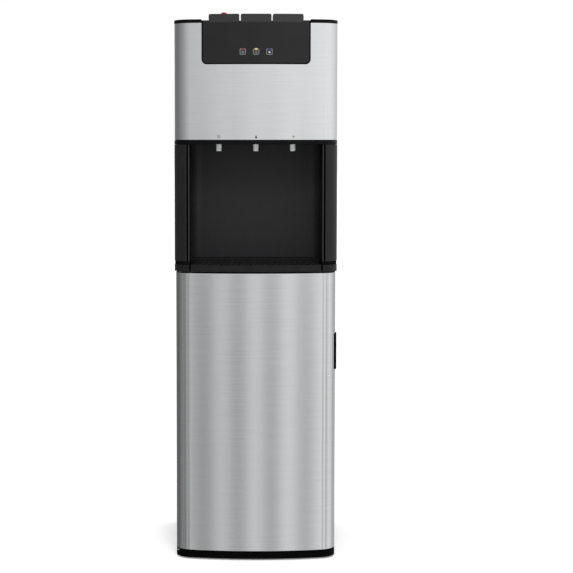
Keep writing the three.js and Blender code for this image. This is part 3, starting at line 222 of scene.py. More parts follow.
def galvanised(name):
    """Zinc-coated steel, its crystals drawn as cells."""
    material, tree, shader, coords = start_material(name)
    cells = add_node(tree, "TexVoronoi", {"Vector": coords, "Scale": PER_METRE / SPANGLE})
    shade = add_node(tree, "SeparateColor", {"Color": cells.outputs["Color"]}).outputs["Red"]
    tints = {"Factor_Float": shade, "A_Color": linear("8d9194"), "B_Color": linear("a9adaf")}
    tint = add_node(tree, "Mix", tints, data_type="RGBA")
    sheen = add_node(tree, "MapRange", {"Value": shade, "To Min": 0.4, "To Max": 0.55})
    grains = add_node(tree, "TexNoise", {"Vector": coords, "Scale": PER_METRE / ZINC_GRAIN})
    skin = add_node(tree, "Bump", {"Height": grains.outputs["Fac"], "Distance": ZINC_DEPTH * MM})
    look = {
        "Base Color": tint.outputs[2],
        "Metallic": 1.0,
        "Roughness": sheen.outputs["Result"],
        "Normal": skin.outputs["Normal"],
    }
    set_inputs(tree, shader, look)
    return material


zinc_coat = galvanised("galvanised_steel")
for floor_sheet in ("bottle_floor", "mid_deck", "tank_shelf"):
    dress(floor_sheet, zinc_coat)

# ---------------------------------------------------------------------------------------------
# Door skin
# One sheet of stainless steel, brushed across, bent round the bow of the front and folded in at
# its top and bottom. The brushing draws every reflection out up and down.
# ---------------------------------------------------------------------------------------------

HALF_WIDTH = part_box("shoulder_trim")[1].x
FRONT_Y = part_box("shoulder_trim")[0].y
BOW_RADIUS = 557 * MM
CORNER_RADIUS = 38 * MM
CORNER_X = HALF_WIDTH - CORNER_RADIUS
BOW_CENTRE_Y = FRONT_Y + BOW_RADIUS
CORNER_Y = BOW_CENTRE_Y - math.sqrt((BOW_RADIUS - CORNER_RADIUS) ** 2 - CORNER_X**2)
BOW_TURN = math.atan2(CORNER_X, BOW_CENTRE_Y - CORNER_Y)
SHEET = 1.2 * MM
DOOR_INSET = HALF_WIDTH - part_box("door_skin")[1].x
DOOR_FLANGE = 16 * MM
DOOR_HINGE = next(joint for joint in frame["joints"] if joint["name"] == "door_swing")
PIN_PLACE = DOOR_HINGE["pos_m"][:2]
PIN_BORE = 2.8 * MM
BORE_REACH = 3 * SHEET  # of the cutters, past each fold
FOLD_RADIUS = 1.4 * MM
BOW_STEPS = 20
CORNER_STEPS = 18
SAME_POINT = 0.02 * MM  # points nearer than this are one
BRUSH_PITCH = 0.9  # mm; real lines are near 0.1 mm and would be too fine to show
BRUSH_LENGTH = 90  # times the pitch
BRUSH_DEPTH = 0.002  # mm


def only_verts(items):
    """The vertices among the things that an operator made."""
    return [item for item in items if isinstance(item, bmesh.types.BMVert)]


def turn_round(shape, points, centre, axis, steps):
    """Joins points by lines and turns them once round an axis."""
    lines = [shape.edges.new(pair) for pair in zip(points, points[1:])]
    bmesh.ops.spin(
        shape,
        geom=points + lines,
        cent=centre,
        axis=axis,
        angle=2 * math.pi,
        steps=steps,
        use_merge=True,
    )


def brushed(name, dark, light, rough, anisotropy):
    """Steel brushed across: level scratches in its colour, roughness and bump."""
    material, tree, shader, coords = start_material(name)
    across = PER_METRE / BRUSH_PITCH
    drawn = {"Vector": coords, "Scale": (across / BRUSH_LENGTH, across / BRUSH_LENGTH, across)}
    placed = add_node(tree, "Mapping", drawn)
    marks = {"Vector": placed.outputs["Vector"], "Scale": 1.0, "Detail": 3.0}
    lines = add_node(tree, "TexNoise", marks)
    skin = add_node(tree, "Bump", {"Height": lines.outputs["Fac"], "Distance": BRUSH_DEPTH * MM})
    upright = add_node(tree, "CombineXYZ", {"Z": 1.0})
    look = {
        **two_tone(tree, lines.outputs["Fac"], dark, light, rough),
        "Metallic": 1.0,
        "Anisotropic": anisotropy,
        "Tangent": upright.outputs["Vector"],
        "Normal": skin.outputs["Normal"],
    }
    set_inputs(tree, shader, look)
    return material


def front_line(shape, inset, rear_y, z):
    """Half of the casing's outline at one level, from the middle of the bow to its rear."""
    up = (0, 0, 1)
    first = shape.verts.new((0, FRONT_Y + inset, z))
    bow = bmesh.ops.spin(
        shape, geom=[first], cent=(0, BOW_CENTRE_Y, z), axis=up, angle=BOW_TURN, steps=BOW_STEPS
    )
    last = only_verts(bow["geom_last"])
    corner = bmesh.ops.spin(
        shape,
        geom=last,
        cent=(CORNER_X, CORNER_Y, z),
        axis=up,
        angle=math.radians(90) - BOW_TURN,
        steps=CORNER_STEPS,
    )
    last = only_verts(corner["geom_last"])
    side = bmesh.ops.extrude_vert_indiv(shape, verts=last)
    side["verts"][0].co.y = rear_y
    seen, edges = set(), []
    reach = [first]
    while reach:
        vert = reach.pop()
        for edge in vert.link_edges:
            if edge not in seen:
                seen.add(edge)
                edges.append(edge)
                reach.append(edge.other_vert(vert))
    return edges


def mirror_front(shape):
    """Adds the other half of a shape that ends in the middle of the bow, faces outwards."""
    everything = shape.verts[:] + shape.edges[:] + shape.faces[:]
    bmesh.ops.mirror(shape, geom=everything, axis="X", merge_dist=SAME_POINT)
    bmesh.ops.remove_doubles(shape, verts=shape.verts, dist=SAME_POINT)
    bmesh.ops.recalc_face_normals(shape, faces=shape.faces)
    foremost = min(shape.faces, key=lambda face: face.calc_center_median().y)
    if foremost.normal.y > 0:
        bmesh.ops.reverse_faces(shape, faces=shape.faces)


def make_object(name, shape, material):
    """A mesh object made from a bmesh, at the origin."""
    mesh = bpy.data.meshes.new(name)
    shape.to_mesh(mesh)
    shape.free()
    mesh.materials.append(material)
    thing = bpy.data.objects.new(name, mesh)
    bpy.context.scene.collection.objects.link(thing)
    return thing


def make_piece(name, shape, material, body, slot, *stands_for):
    """A piece of the cooler that moves with a body and may stand for CAD nodes."""
    thing = make_object(name, shape, material)
    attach(thing, body)
    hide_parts(*stands_for)
    return thing


def thicken(thing, thickness):
    """Gives a sheet its thickness, inwards from the faces that show."""
    solid = thing.modifiers.new("thickness", "SOLIDIFY")
    solid.thickness = thickness
    solid.offset = -1
    solid.use_even_offset = True


def carve(thing, cutter_shape):
    """Cuts one closed shape out of an object, for good."""
    cutter = make_object("cutter", cutter_shape, thing.data.materials[0])
    boolean = thing.modifiers.new("cut", "BOOLEAN")
    boolean.operation = "DIFFERENCE"
    boolean.object = cutter
    boolean.solver = "EXACT"
    evaluated = thing.evaluated_get(bpy.context.evaluated_depsgraph_get())
    cut_mesh = bpy.data.meshes.new_from_object(evaluated)
    thing.modifiers.clear()
    thing.data = cut_mesh
    bpy.data.objects.remove(cutter)


def pin_bores():
    """Two round bars where the hinge pins pass through the door's folds."""
    low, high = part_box("door_skin")
    x, y = PIN_PLACE
    shape = bmesh.new()
    for z in (low.z, high.z):
        ends = (z - BORE_REACH, z + BORE_REACH)
        points = [shape.verts.new((x + PIN_BORE, y, end)) for end in ends]
        turn_round(shape, points, (x, y, z), (0, 0, 1), 24)
    bmesh.ops.holes_fill(shape, edges=shape.edges)
    bmesh.ops.recalc_face_normals(shape, faces=shape.faces)
    return shape


def door_sheet():
    """The door's wall with its folds at top and bottom."""
    low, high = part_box("door_skin")
    shape = bmesh.new()
    rows = [
        front_line(shape, DOOR_INSET + DOOR_FLANGE, high.y, low.z),
        front_line(shape, DOOR_INSET, high.y, low.z),
        front_line(shape, DOOR_INSET, high.y, high.z),
        front_line(shape, DOOR_INSET + DOOR_FLANGE, high.y, high.z),
    ]
    folds = rows[1] + rows[2]
    for lower, upper in zip(rows, rows[1:]):
        bmesh.ops.bridge_loops(shape, edges=lower + upper)
    bmesh.ops.bevel(
        shape,
        geom=folds,
        offset=FOLD_RADIUS,
        segments=4,
        profile=0.5,
        affect="EDGES",
        material=-1,
    )
    mirror_front(shape)
    return shape


brushed_steel = brushed("brushed_stainless_steel", "c3c4c5", "cacbcc", (0.14, 0.18), 0.85)
door_steel = make_piece(
    "door_steel", door_sheet(), brushed_steel, "door", "brushed_steel", "door_skin"
)
thicken(door_steel, SHEET)
carve(door_steel, pin_bores())
soften(door_steel, 0.15)

# ---------------------------------------------------------------------------------------------
# Door lining
# A panel moulded in black polypropylene that clips into the skin, with an extruded rubber
# gasket in its rim and a grip of the same plastic over the door's right edge.
# ---------------------------------------------------------------------------------------------

GRIP_START = math.radians(72)
GRIP_WALL = 2.2 * MM


def raise_face(shape, base, height):
    """Extrudes a level face upwards."""
    grown = bmesh.ops.extrude_face_region(shape, geom=[base])["geom"]
    bmesh.ops.translate(shape, vec=(0, 0, height), verts=only_verts(grown))


def corner_angles(start):
    """Even steps round the casing's corner, from an angle off the front to the side."""
    turn = (math.pi / 2 - start) / CORNER_STEPS
    return [start + turn * step for step in range(CORNER_STEPS + 1)]


def corner_strip(shape, inset, thickness, start, rear_y, levels):
    """A band that follows the casing round its right corner, from an angle to a rear edge."""
    low, high = levels
    outer, inner = (
        [
            (CORNER_X + radius * math.sin(angle), CORNER_Y - radius * math.cos(angle), low)
            for angle in corner_angles(start)
        ]
        for radius in (CORNER_RADIUS - inset, CORNER_RADIUS - inset - thickness)
    )
    outer.append((HALF_WIDTH - inset, rear_y, low))
    inner.append((HALF_WIDTH - inset - thickness, rear_y, low))
    base = shape.faces.new([shape.verts.new(point) for point in outer + inner[::-1]])
    raise_face(shape, base, high - low)
    bmesh.ops.recalc_face_normals(shape, faces=shape.faces)


def grip():
    """A low strip over the skin's right edge, to pull the door open by."""
    low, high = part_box("door_handle")
    shape = bmesh.new()
    corner_strip(shape, 0, GRIP_WALL, GRIP_START, high.y, (low.z, high.z))
    return shape


dress("door_inner_panel", satin_polypropylene, 0.6)
door_grip = make_piece(
    "door_grip", grip(), satin_polypropylene, "door", "satin_black", "door_handle"
)
soften(door_grip, 0.9, 3)
# Drawn through a die and left bare: darker and a little smoother than the feet.
gasket_rubber = moulded("extruded_rubber", "1a1a1b", "222223", (0.6, 0.72), 0.4, 0.02, level=0.3)
dress("door_gasket", gasket_rubber, 0.8)

# ---------------------------------------------------------------------------------------------
# Hinge brackets and rods
# Stamped or drawn from rolled steel and left plain, with a light oily sheen. The rod carries
# the three buttons, and the tube is the probe that reaches down into the bottle.
# ---------------------------------------------------------------------------------------------

rolled_steel = brushed("rolled_steel", "8f9193", "9c9ea0", (0.34, 0.46), 0.3)
for plain in ("lower_hinge_bracket", "upper_hinge_bracket", "button_rod", "probe_tube"):
    dress(plain, rolled_steel, 0.2)

# ---------------------------------------------------------------------------------------------
# Drip tray
# Moulded in black ABS with a lift-out grille, in a surround of the same plastic. Water and
# wiping keep its fine texture a little shinier than the parts around it.
# ---------------------------------------------------------------------------------------------

satin_abs = moulded("satin_abs", "0e0e0f", "121213", (0.34, 0.4), 0.5, 0.008, level=0.16)
# The grille is moulded a shade lighter, so that its bars stand out from the tray below.
grille_abs = moulded("grille_abs", "1c1c1e", "222224", (0.4, 0.46), 0.5, 0.01, level=0.2)
for tray_part in ("tray_surround", "drip_tray"):
    dress(tray_part, satin_abs, 0.4)
dress("drip_grille", grille_abs, 0.3)

# ---------------------------------------------------------------------------------------------
# Groove shade strips
# Two near-black strips pressed into the groove below the pillars: painted shade, standing in for
# the shadow deep in that groove.
# ---------------------------------------------------------------------------------------------

SHADE_STRIP_INSET = 0.8 * MM
SHADE_STRIP_WALL = 3.6 * MM
SHADE_STRIP_START = math.radians(21)
SHADE_STRIP_HEIGHT = 5.4 * MM
SHADE_STRIP_DROP = 0.6 * MM  # below the pillars' feet
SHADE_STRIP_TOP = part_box("left_pillar")[0].z - SHADE_STRIP_DROP
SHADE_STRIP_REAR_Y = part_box("left_pillar")[1].y - 1 * MM

# Matt and near-black, the strips are painted shade for the shadow in the groove.
groove_shade_black = moulded("groove_shade_black", "040405", "08080a", (0.8, 0.95), 0.8, 0.05, level=0.05)
shade_strips = bmesh.new()
shade_strip_levels = (SHADE_STRIP_TOP - SHADE_STRIP_HEIGHT, SHADE_STRIP_TOP)
corner_strip(shade_strips, SHADE_STRIP_INSET, SHADE_STRIP_WALL, SHADE_STRIP_START, SHADE_STRIP_REAR_Y, shade_strip_levels)
bmesh.ops.mirror(shade_strips, geom=shade_strips.verts[:] + shade_strips.edges[:] + shade_strips.faces[:], axis="X")
bmesh.ops.recalc_face_normals(shade_strips, faces=shade_strips.faces)
groove_shade_strips = make_piece("groove_shade_strips", shade_strips, groove_shade_black, "cooler", "rubber")
soften(groove_shade_strips, 0.4)

# ---------------------------------------------------------------------------------------------
# Alcove
# A deep liner of black ABS between two upright pillars that clip over the casing's corners,
# with a glossy shoulder trim above them.
# ---------------------------------------------------------------------------------------------

# Moulded in a blasted tool: a soft, even sheen down the pillars.
pillar_abs = moulded("pillar_abs", "131314", "171718", (0.39, 0.44), 0.5, 0.008, level=0.18)
PILLAR_TRIM = 2.5 * MM  # narrower than the CAD pillar, on its inner side
PILLAR_INNER_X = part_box("right_pillar")[0].x + PILLAR_TRIM


def pillar(side):
    """A pillar: round the casing's corner outside, and square inside."""
    low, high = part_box("right_pillar")
    start = math.asin((PILLAR_INNER_X - CORNER_X) / CORNER_RADIUS)
    shape = bmesh.new()
    line = [
        (CORNER_X + CORNER_RADIUS * math.sin(angle), CORNER_Y - CORNER_RADIUS * math.cos(angle))
        for angle in corner_angles(start)
    ]
    line += [(HALF_WIDTH, high.y), (PILLAR_INNER_X, high.y)]
    base = shape.faces.new([shape.verts.new((side * x, y, low.z)) for x, y in line])
    raise_face(shape, base, high.z - low.z)
    bmesh.ops.recalc_face_normals(shape, faces=shape.faces)
    return shape


for side, name in ((-1, "left_pillar"), (1, "right_pillar")):
    post = make_piece(f"{name}_shell", pillar(side), pillar_abs, "cooler", "gloss_black", name)
    soften(post, 0.9, 3)
dress("front_housing", pillar_abs, 1.0)
# The liner is formed from a textured sheet and looks greyer and flatter.
liner_abs = moulded("liner_abs", "1d1d1f", "202022", (0.43, 0.47), 0.5, 0.01, level=0.2)
dress("alcove_liner", liner_abs, 0.8)
# The trim comes from a polished tool and is nearly a black mirror.
deep_abs = moulded("deep_gloss_abs", "040405", "070708", (0.12, 0.18), 1.2, 0.002, level=0.07)
dress("shoulder_trim", deep_abs, 1.2, 3)

# ---------------------------------------------------------------------------------------------
# Taps
# Food-grade polypropylene spouts in light grey, each on a valve of the same plastic. The
# plastic lets a little light in, so its shadows stay soft.
# ---------------------------------------------------------------------------------------------

pale_polypropylene = moulded(
    "pale_polypropylene", "b4b6b7", "c0c2c3", (0.35, 0.45), 0.4, 0.01, level=0.4
)
for tap in ("hot", "normal", "cold"):
    dress(f"{tap}_nozzle", pale_polypropylene, 0.4)
    dress(f"{tap}_valve", pale_polypropylene, 0.4)

# ---------------------------------------------------------------------------------------------
# Upper steel panel
# A second sheet of the same brushed steel, bent like the door and punched out at its top for
# the control panel. Its punched edge is turned over and catches the light.
# ---------------------------------------------------------------------------------------------

PANEL_GAP = 0.3 * MM
PANEL_CORNER = 9.5 * MM


def panel_punch():
    """The shape that the control panel's hole leaves, its two lower corners rounded."""
    low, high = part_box("control_panel")
    shape = bmesh.new()
    bmesh.ops.create_cube(shape, size=1.0)
    size = (high.x - low.x + 2 * PANEL_GAP, 2 * CORNER_RADIUS, 2 * (high.z - low.z))
    bmesh.ops.scale(shape, vec=size, verts=shape.verts)
    centre = Vector((0, FRONT_Y, low.z - PANEL_GAP + size[2] / 2))
    bmesh.ops.translate(shape, vec=centre, verts=shape.verts)
    lower = [
        edge
        for edge in shape.edges
        if all(v.co.z < low.z for v in edge.verts) and edge.verts[0].co.x == edge.verts[1].co.x
    ]
    bmesh.ops.bevel(
        shape,
        geom=lower,
        offset=PANEL_CORNER,
        segments=10,
        profile=0.5,
        affect="EDGES",
        material=-1,
    )
    return shape


def upper_sheet():
    """The upper panel's wall, before it is punched."""
    low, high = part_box("upper_front_panel")
    inset = HALF_WIDTH - high.x
    shape = bmesh.new()
    rows = [front_line(shape, inset, high.y, z) for z in (low.z, high.z)]
    bmesh.ops.bridge_loops(shape, edges=rows[0] + rows[1])
    mirror_front(shape)
    return shape


upper_steel = make_piece(
    "upper_steel", upper_sheet(), brushed_steel, "cooler", "brushed_steel", "upper_front_panel"
)
thicken(upper_steel, SHEET)
carve(upper_steel, panel_punch())
soften(upper_steel, 0.8, 3)

# ---------------------------------------------------------------------------------------------
# Control panel and cap
# Glossy black ABS. The panel snaps into the steel through its rib. A narrow dark matt border
# round its edge is painted shade for the gap beside it. The cap closes the casing from above
# with a rounded rim.
# ---------------------------------------------------------------------------------------------

gloss_abs = moulded("gloss_abs", "070708", "0c0c0d", (0.12, 0.18), 1.2, 0.002, level=0.28)
SHADE_BORDER_WIDTH = 2.4 * MM
SHADE_BORDER_BLUR = 0.48 * MM  # over which the painted shade border fades in


def add_shade_border(material, node, corner):
    """Painted shade: a narrow dark matt border inside a panel's sides and rounded lower corners.
    """
    tree = material.node_tree
    shader = tree.nodes["Principled BSDF"]
    low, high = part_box(node)
    coords = add_node(tree, "TexCoord").outputs["Object"]
    folded = add_node(tree, "VectorMath", {"Vector": coords}, operation="ABSOLUTE")
    from_corner = {
        "Vector": folded.outputs["Vector"],
        "Vector_001": (1, 0, -1),
        "Vector_002": (corner - high.x, 0, low.z + corner),
    }
    outward = add_node(tree, "VectorMath", from_corner, operation="MULTIPLY_ADD")
    past = add_node(tree, "VectorMath", {"Vector": outward.outputs["Vector"]}, operation="MAXIMUM")
    reach = add_node(tree, "VectorMath", {"Vector": past.outputs["Vector"]}, operation="LENGTH")
    edge = {
        "Value": reach.outputs["Value"],
        "From Min": corner - SHADE_BORDER_WIDTH,
        "From Max": corner - SHADE_BORDER_WIDTH + SHADE_BORDER_BLUR,
    }
    shade_border = add_node(tree, "MapRange", edge).outputs["Result"]
    shine = add_node(tree, "MapRange", {"Value": shade_border, "To Min": 0.28, "To Max": 0.03})
    paint = shader.inputs["Base Color"].links[0].from_socket
    tints = {"Factor_Float": shade_border, "A_Color": paint, "B_Color": linear("020203")}
    tint = add_node(tree, "Mix", tints, data_type="RGBA")
    look = {"Base Color": tint.outputs[2], "Specular IOR Level": shine.outputs["Result"]}
    set_inputs(tree, shader, look)


# From a polished tool too, with faint waves that soften what it mirrors.
panel_abs = moulded("panel_gloss_abs", "070708", "0c0c0d", (0.12, 0.18), 1.2, 0.002)
# A narrow dark matt border round the panel: painted shade for the gap between panel and steel.
add_shade_border(panel_abs, "control_panel", PANEL_CORNER)
dress("control_panel", panel_abs, 1.0, 4)
# The cap has a fine matt grain and stays dark under the key light.
cap_abs = moulded("cap_abs", "040405", "060607", (0.36, 0.38), 0.8, 0.004, level=0.07)
dress("top_cap", cap_abs, 1.6, 4)

# ---------------------------------------------------------------------------------------------
# Indicators
# Three smoked acrylic lenses. Each is printed on its face with a rounded frame and a sign for
# its water, and has a small coloured lamp window at its upper edge, ringed by a painted glow.
# ---------------------------------------------------------------------------------------------

FRAME_SIDE = 11.6 * MM
FRAME_LINE = 1.1 * MM
FRAME_CORNER = 2.2 * MM
PRINT_PROUD = 0.04 * MM
LAMP_RADIUS = 2.1 * MM
LAMP_RISE = 0.2 * MM
LAMP_DROP = 1.2 * MM
LAMP_STRETCH = 1.3  # of the round dome, sideways
LAMP_PROFILE = ((1.0, 0.0), (0.8, 0.7), (0.0, 1.0))  # share of the radius, share of the rise
GLOW_SIZE = (8.6 * MM, 4.2 * MM)
GLOW_CORNER = 1.0 * MM
GLOW_DROP = 3.4 * MM
LENS_SIGN = 4.4 * MM
SIGN_DROP = 1.2 * MM
# Tints of each lamp's painted glow on its lens.
GLOW_COLOURS = {
    "hot": ("2c090d", "360c11"),
    "normal": ("1f1c0a", "29250f"),
    "cold": ("0c0b2c", "100e38"),
}
LENS_SLOTS = {"hot": "red_lens", "normal": "amber_lens", "cold": "blue_lens"}
LAMP_COLOURS = {
    "hot": ("5c151c", "6b1c24"),
    "normal": ("a29a56", "b3ab66"),
    "cold": ("1c194c", "25215c"),
}
SIGN_COLOURS = {
    "hot": ("7c7c80", "868689"),
    "normal": ("5f5f63", "69696d"),
    "cold": ("d4d4d8", "dedee2"),
}


def upright_plate(width, height, corner):
    """A flat plate in X and Z with rounded corners, facing the front."""
    shape = bmesh.new()
    bmesh.ops.create_grid(shape, x_segments=1, y_segments=1, size=0.5)
    bmesh.ops.rotate(shape, matrix=Matrix.Rotation(math.radians(90), 3, "X"), verts=shape.verts)
    bmesh.ops.scale(shape, vec=(width, 1, height), verts=shape.verts)
    bmesh.ops.bevel(
        shape,
        geom=shape.verts[:],
        offset=corner,
        segments=5,
        profile=0.5,
        affect="VERTICES",
        material=-1,
    )
    return shape


def frame_print():
    """The printed line round a lens."""
    shape = upright_plate(FRAME_SIDE, FRAME_SIDE, FRAME_CORNER)
    rim = bmesh.ops.inset_individual(
        shape, faces=shape.faces[:], thickness=FRAME_LINE, use_even_offset=True
    )["faces"]
    middle = [face for face in shape.faces if face not in rim]
    bmesh.ops.delete(shape, geom=middle, context="FACES")
    return shape


def steam_sign(size):
    """Three rising waves, for hot water."""
    shape = bmesh.new()
    line, gap, sway, steps = 0.13 * size, 0.34 * size, 0.05 * size, 12
    for x in (-gap, 0, gap):
        corners = [shape.verts.new((x + side * line / 2, 0, -size / 2)) for side in (-1, 1)]
        edge = shape.edges.new(corners)
        for step in range(steps):
            grown = bmesh.ops.extrude_edge_only(shape, edges=[edge])["geom"]
            corners = only_verts(grown)
            aside = sway * math.cos(2 * math.pi * step / steps)
            bmesh.ops.translate(shape, vec=(aside, 0, size / steps), verts=corners)
            edge = shape.edges.get(corners)
    return shape


def drop_sign(size):
    """A drop, for water at room temperature."""
    shape = bmesh.new()
    radius, half = 0.32 * size, 0.55 * size
    tip = shape.verts.new((0, 0, half))
    belly = radius - half
    lean = math.acos(radius / (half - belly))
    start = (radius * math.sin(lean), 0, belly + radius * math.cos(lean))
    first = shape.verts.new(start)
    swept = bmesh.ops.spin(
        shape,
        geom=[first],
        cent=(0, 0, belly),
        axis=(0, 1, 0),
        angle=2 * (math.pi - lean),
        steps=20,
    )
    last = only_verts(swept["geom_last"])[0]
    shape.edges.new((last, tip))
    shape.edges.new((tip, first))
    bmesh.ops.contextual_create(shape, geom=shape.edges[:])
    return shape


def flake_sign(size):
    """A six-armed snow crystal, for cold water."""
    shape = bmesh.new()
    hub, arm = 0.09 * size, 0.42 * size
    bmesh.ops.create_circle(shape, cap_ends=True, radius=hub, segments=6)
    bmesh.ops.rotate(shape, matrix=Matrix.Rotation(math.radians(90), 3, "X"), verts=shape.verts)
    for edge in shape.edges[:]:
        outward = (edge.verts[0].co + edge.verts[1].co).normalized()
        grown = bmesh.ops.extrude_edge_only(shape, edges=[edge])["geom"]
        bmesh.ops.translate(shape, vec=outward * arm, verts=only_verts(grown))
    return shape


SIGNS = {"hot": steam_sign, "normal": drop_sign, "cold": flake_sign}


def lamp_dome():
    """A lamp's window: a low dome, standing out to the front."""
    shape = bmesh.new()
    points = [
        shape.verts.new((LAMP_RADIUS * out, -LAMP_RISE * rise, 0)) for out, rise in LAMP_PROFILE
    ]
    turn_round(shape, points, (0, 0, 0), (0, 1, 0), 20)
    bmesh.ops.remove_doubles(shape, verts=shape.verts, dist=0.01 * MM)
    return shape


def face_front(shape):
    """Turns every face of a shape that lies to the front towards the front."""
    shape.normal_update()
    away = [face for face in shape.faces if face.normal.y > 0]
    bmesh.ops.reverse_faces(shape, faces=away)


def on_bow(shape, x, z, inset):
    """Takes a shape drawn at the origin to its place on the bowed front."""
    face_front(shape)
    turn = math.asin(x / (BOW_RADIUS - inset))
    matrix = (
        Matrix.Translation((0, BOW_CENTRE_Y, z))
        @ Matrix.Rotation(turn, 4, "Z")
        @ Matrix.Translation((0, inset - BOW_RADIUS, 0))
    )
    bmesh.ops.transform(shape, matrix=matrix, verts=shape.verts)
    return shape


def on_face(shape, node, x, z, side=-1, proud=PRINT_PROUD):
    """Takes a shape drawn at the origin on to a CAD node's face, front (-1) or rear (1)."""
    face_front(shape)
    start, inwards = Vector((x, side, z)), Vector((0, -side, 0))
    _, place, normal, _ = frame["nodes"][node].ray_cast(start, inwards)
    turn = Vector((0, -1, 0)).rotation_difference(normal).to_matrix().to_4x4()
    matrix = Matrix.Translation(place + normal * proud) @ turn
    bmesh.ops.transform(shape, matrix=matrix, verts=shape.verts)
    return shape


def ink(name, dark, light):
    """Screen-printing ink: a thin, even film with a soft sheen."""
    return moulded(name, dark, light, (0.4, 0.5), 0.3, 0.002, level=0.3)


frame_ink = ink("grey_ink", "606164", "6a6b6e")
for tap in ("hot", "normal", "cold"):
    # Cast acrylic, smoked nearly black and as smooth as glass.
    lens = moulded(f"{tap}_lens_acrylic", "0a0a0b", "0f0f11", (0.06, 0.12), 0.8, 0.001, level=0.5)
    lens_node = f"indicator_{tap}"
    dress(lens_node, lens, 0.1)
    low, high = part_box(lens_node)
    centre = (low + high) / 2
    lens_slot = LENS_SLOTS[tap]
    outline = on_face(frame_print(), lens_node, centre.x, centre.z)
    make_piece(f"{tap}_lens_frame", outline, frame_ink, "cooler", "pale_grey")
    sign_ink = ink(f"{tap}_sign_ink", *SIGN_COLOURS[tap])
    sign = on_face(SIGNS[tap](LENS_SIGN), lens_node, centre.x, centre.z - SIGN_DROP)
    make_piece(f"{tap}_lens_sign", sign, sign_ink, "cooler", "pale_grey")
    lamp_tint = moulded(f"{tap}_lamp_window", *LAMP_COLOURS[tap], (0.2, 0.3), 0.4, 0.002)
    dome = lamp_dome()
    bmesh.ops.scale(dome, vec=(LAMP_STRETCH, 1, 1), verts=dome.verts)
    window = on_face(dome, lens_node, centre.x, high.z - LAMP_DROP)
    make_piece(f"{tap}_lamp", window, lamp_tint, "cooler", lens_slot)
    # Painted glow: a tinted plate on the lens face stands in for the lamp's light in the smoked
    # acrylic.
    painted_glow_tint = moulded(f"{tap}_painted_glow", *GLOW_COLOURS[tap], (0.1, 0.2), 0.4, 0.001)
    glow = upright_plate(*GLOW_SIZE, GLOW_CORNER)
    on_face(glow, lens_node, centre.x, high.z - GLOW_DROP, proud=PRINT_PROUD / 2)
    make_piece(f"{tap}_lamp_glow", glow, painted_glow_tint, "cooler", lens_slot)

# ---------------------------------------------------------------------------------------------
# Tap signs
# Printed straight on to the steel above each spout in dark grey ink: steam for hot, a drop for
# room temperature and a snow crystal for cold.
# ---------------------------------------------------------------------------------------------

TAP_SIGN = 6.4 * MM
TAP_SIGN_RISE = 5.7 * MM  # above the steel's lower edge
dark_ink = ink("dark_ink", "3a3b3d", "434446")
for tap, sign in SIGNS.items():
    low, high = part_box(f"{tap}_nozzle")
    steel_low, steel_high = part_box("upper_front_panel")
    steel_face = HALF_WIDTH - steel_high.x - PRINT_PROUD
    sign_z = steel_low.z + TAP_SIGN_RISE
    shape = on_bow(sign(TAP_SIGN), (low.x + high.x) / 2, sign_z, steel_face)
    make_piece(f"{tap}_tap_sign", shape, dark_ink, "cooler", "satin_black")

# ---------------------------------------------------------------------------------------------
# Push buttons and child lock
# Glossy ABS paddles that hang on the rod and tip down at the front. The lock is a small slide
# of dark red ABS on the hot one.
# ---------------------------------------------------------------------------------------------

LOCK_PROFILE = (  # share of the half width, share of the height
    (0.96, 0.0),
    (1.0, 0.2),
    (0.97, 0.45),
    (0.86, 0.72),
    (0.62, 0.92),
    (0.3, 0.99),
    (0.0, 1.0),
)
LOCK_CLEARANCE = 0.3 * MM
# A lightly polished tool gives them a broad, quiet highlight.
button_abs = moulded("button_abs", "141415", "171718", (0.24, 0.27), 0.8, 0.004, level=0.45)
for tap in ("hot", "normal", "cold"):
    dress(f"{tap}_button", button_abs, 2.0, 4)


def lock_knob():
    """A low oval dome."""
    low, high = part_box("child_lock")
    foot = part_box("hot_button")[1].z + LOCK_CLEARANCE
    shape = bmesh.new()
    points = [shape.verts.new((out, 0, up)) for out, up in LOCK_PROFILE]
    points.insert(0, shape.verts.new((0, 0, 0)))
    turn_round(shape, points, (0, 0, 0), (0, 0, 1), 32)
    bmesh.ops.remove_doubles(shape, verts=shape.verts, dist=0.001)
    bmesh.ops.recalc_face_normals(shape, faces=shape.faces)
    size = ((high.x - low.x) / 2, (high.y - low.y) / 2, high.z - foot)
    bmesh.ops.scale(shape, vec=size, verts=shape.verts)
    centre = ((low.x + high.x) / 2, (low.y + high.y) / 2, foot)
    bmesh.ops.translate(shape, vec=centre, verts=shape.verts)
    return shape


red_abs = moulded("red_abs", "84191d", "921f23", (0.25, 0.35), 0.5, 0.006)
lock_slide = make_piece("lock_knob", lock_knob(), red_abs, "lock", "red_plastic", "child_lock")
lock_slide.data.shade_smooth()

# ---------------------------------------------------------------------------------------------
# Control board
# Glass-fibre laminate under green solder mask, on stand-offs behind the lenses. The weave of
# the glass shows through as a faint grid.
# ---------------------------------------------------------------------------------------------

solder_mask = moulded("solder_mask", "17492d", "1e5a38", (0.3, 0.42), 0.6, 0.01)
dress("control_board", solder_mask, 0.1)

# ---------------------------------------------------------------------------------------------
# Tanks
# The cold tank is cast round with polyurethane foam, whose skin is matt and pocked. The hot
# tank is drawn from stainless steel and left bright.
# ---------------------------------------------------------------------------------------------

cast_foam = moulded("cast_foam", "c9b47c", "dccb98", (0.8, 0.95), 2.0, 0.3, level=0.2)
dress("cold_tank", cast_foam, 2.0, 3)
drawn_steel = brushed("drawn_steel", "b0b2b4", "bcbec0", (0.3, 0.4), 0.4)
dress("hot_tank", drawn_steel, 0.8)

# ---------------------------------------------------------------------------------------------
# Cooling circuit
# A hermetic compressor in a pressed steel shell, and the condenser's tube bent back and forth
# across the rear. Both are dipped in black paint, glossier than the cabinet's powder.
# ---------------------------------------------------------------------------------------------

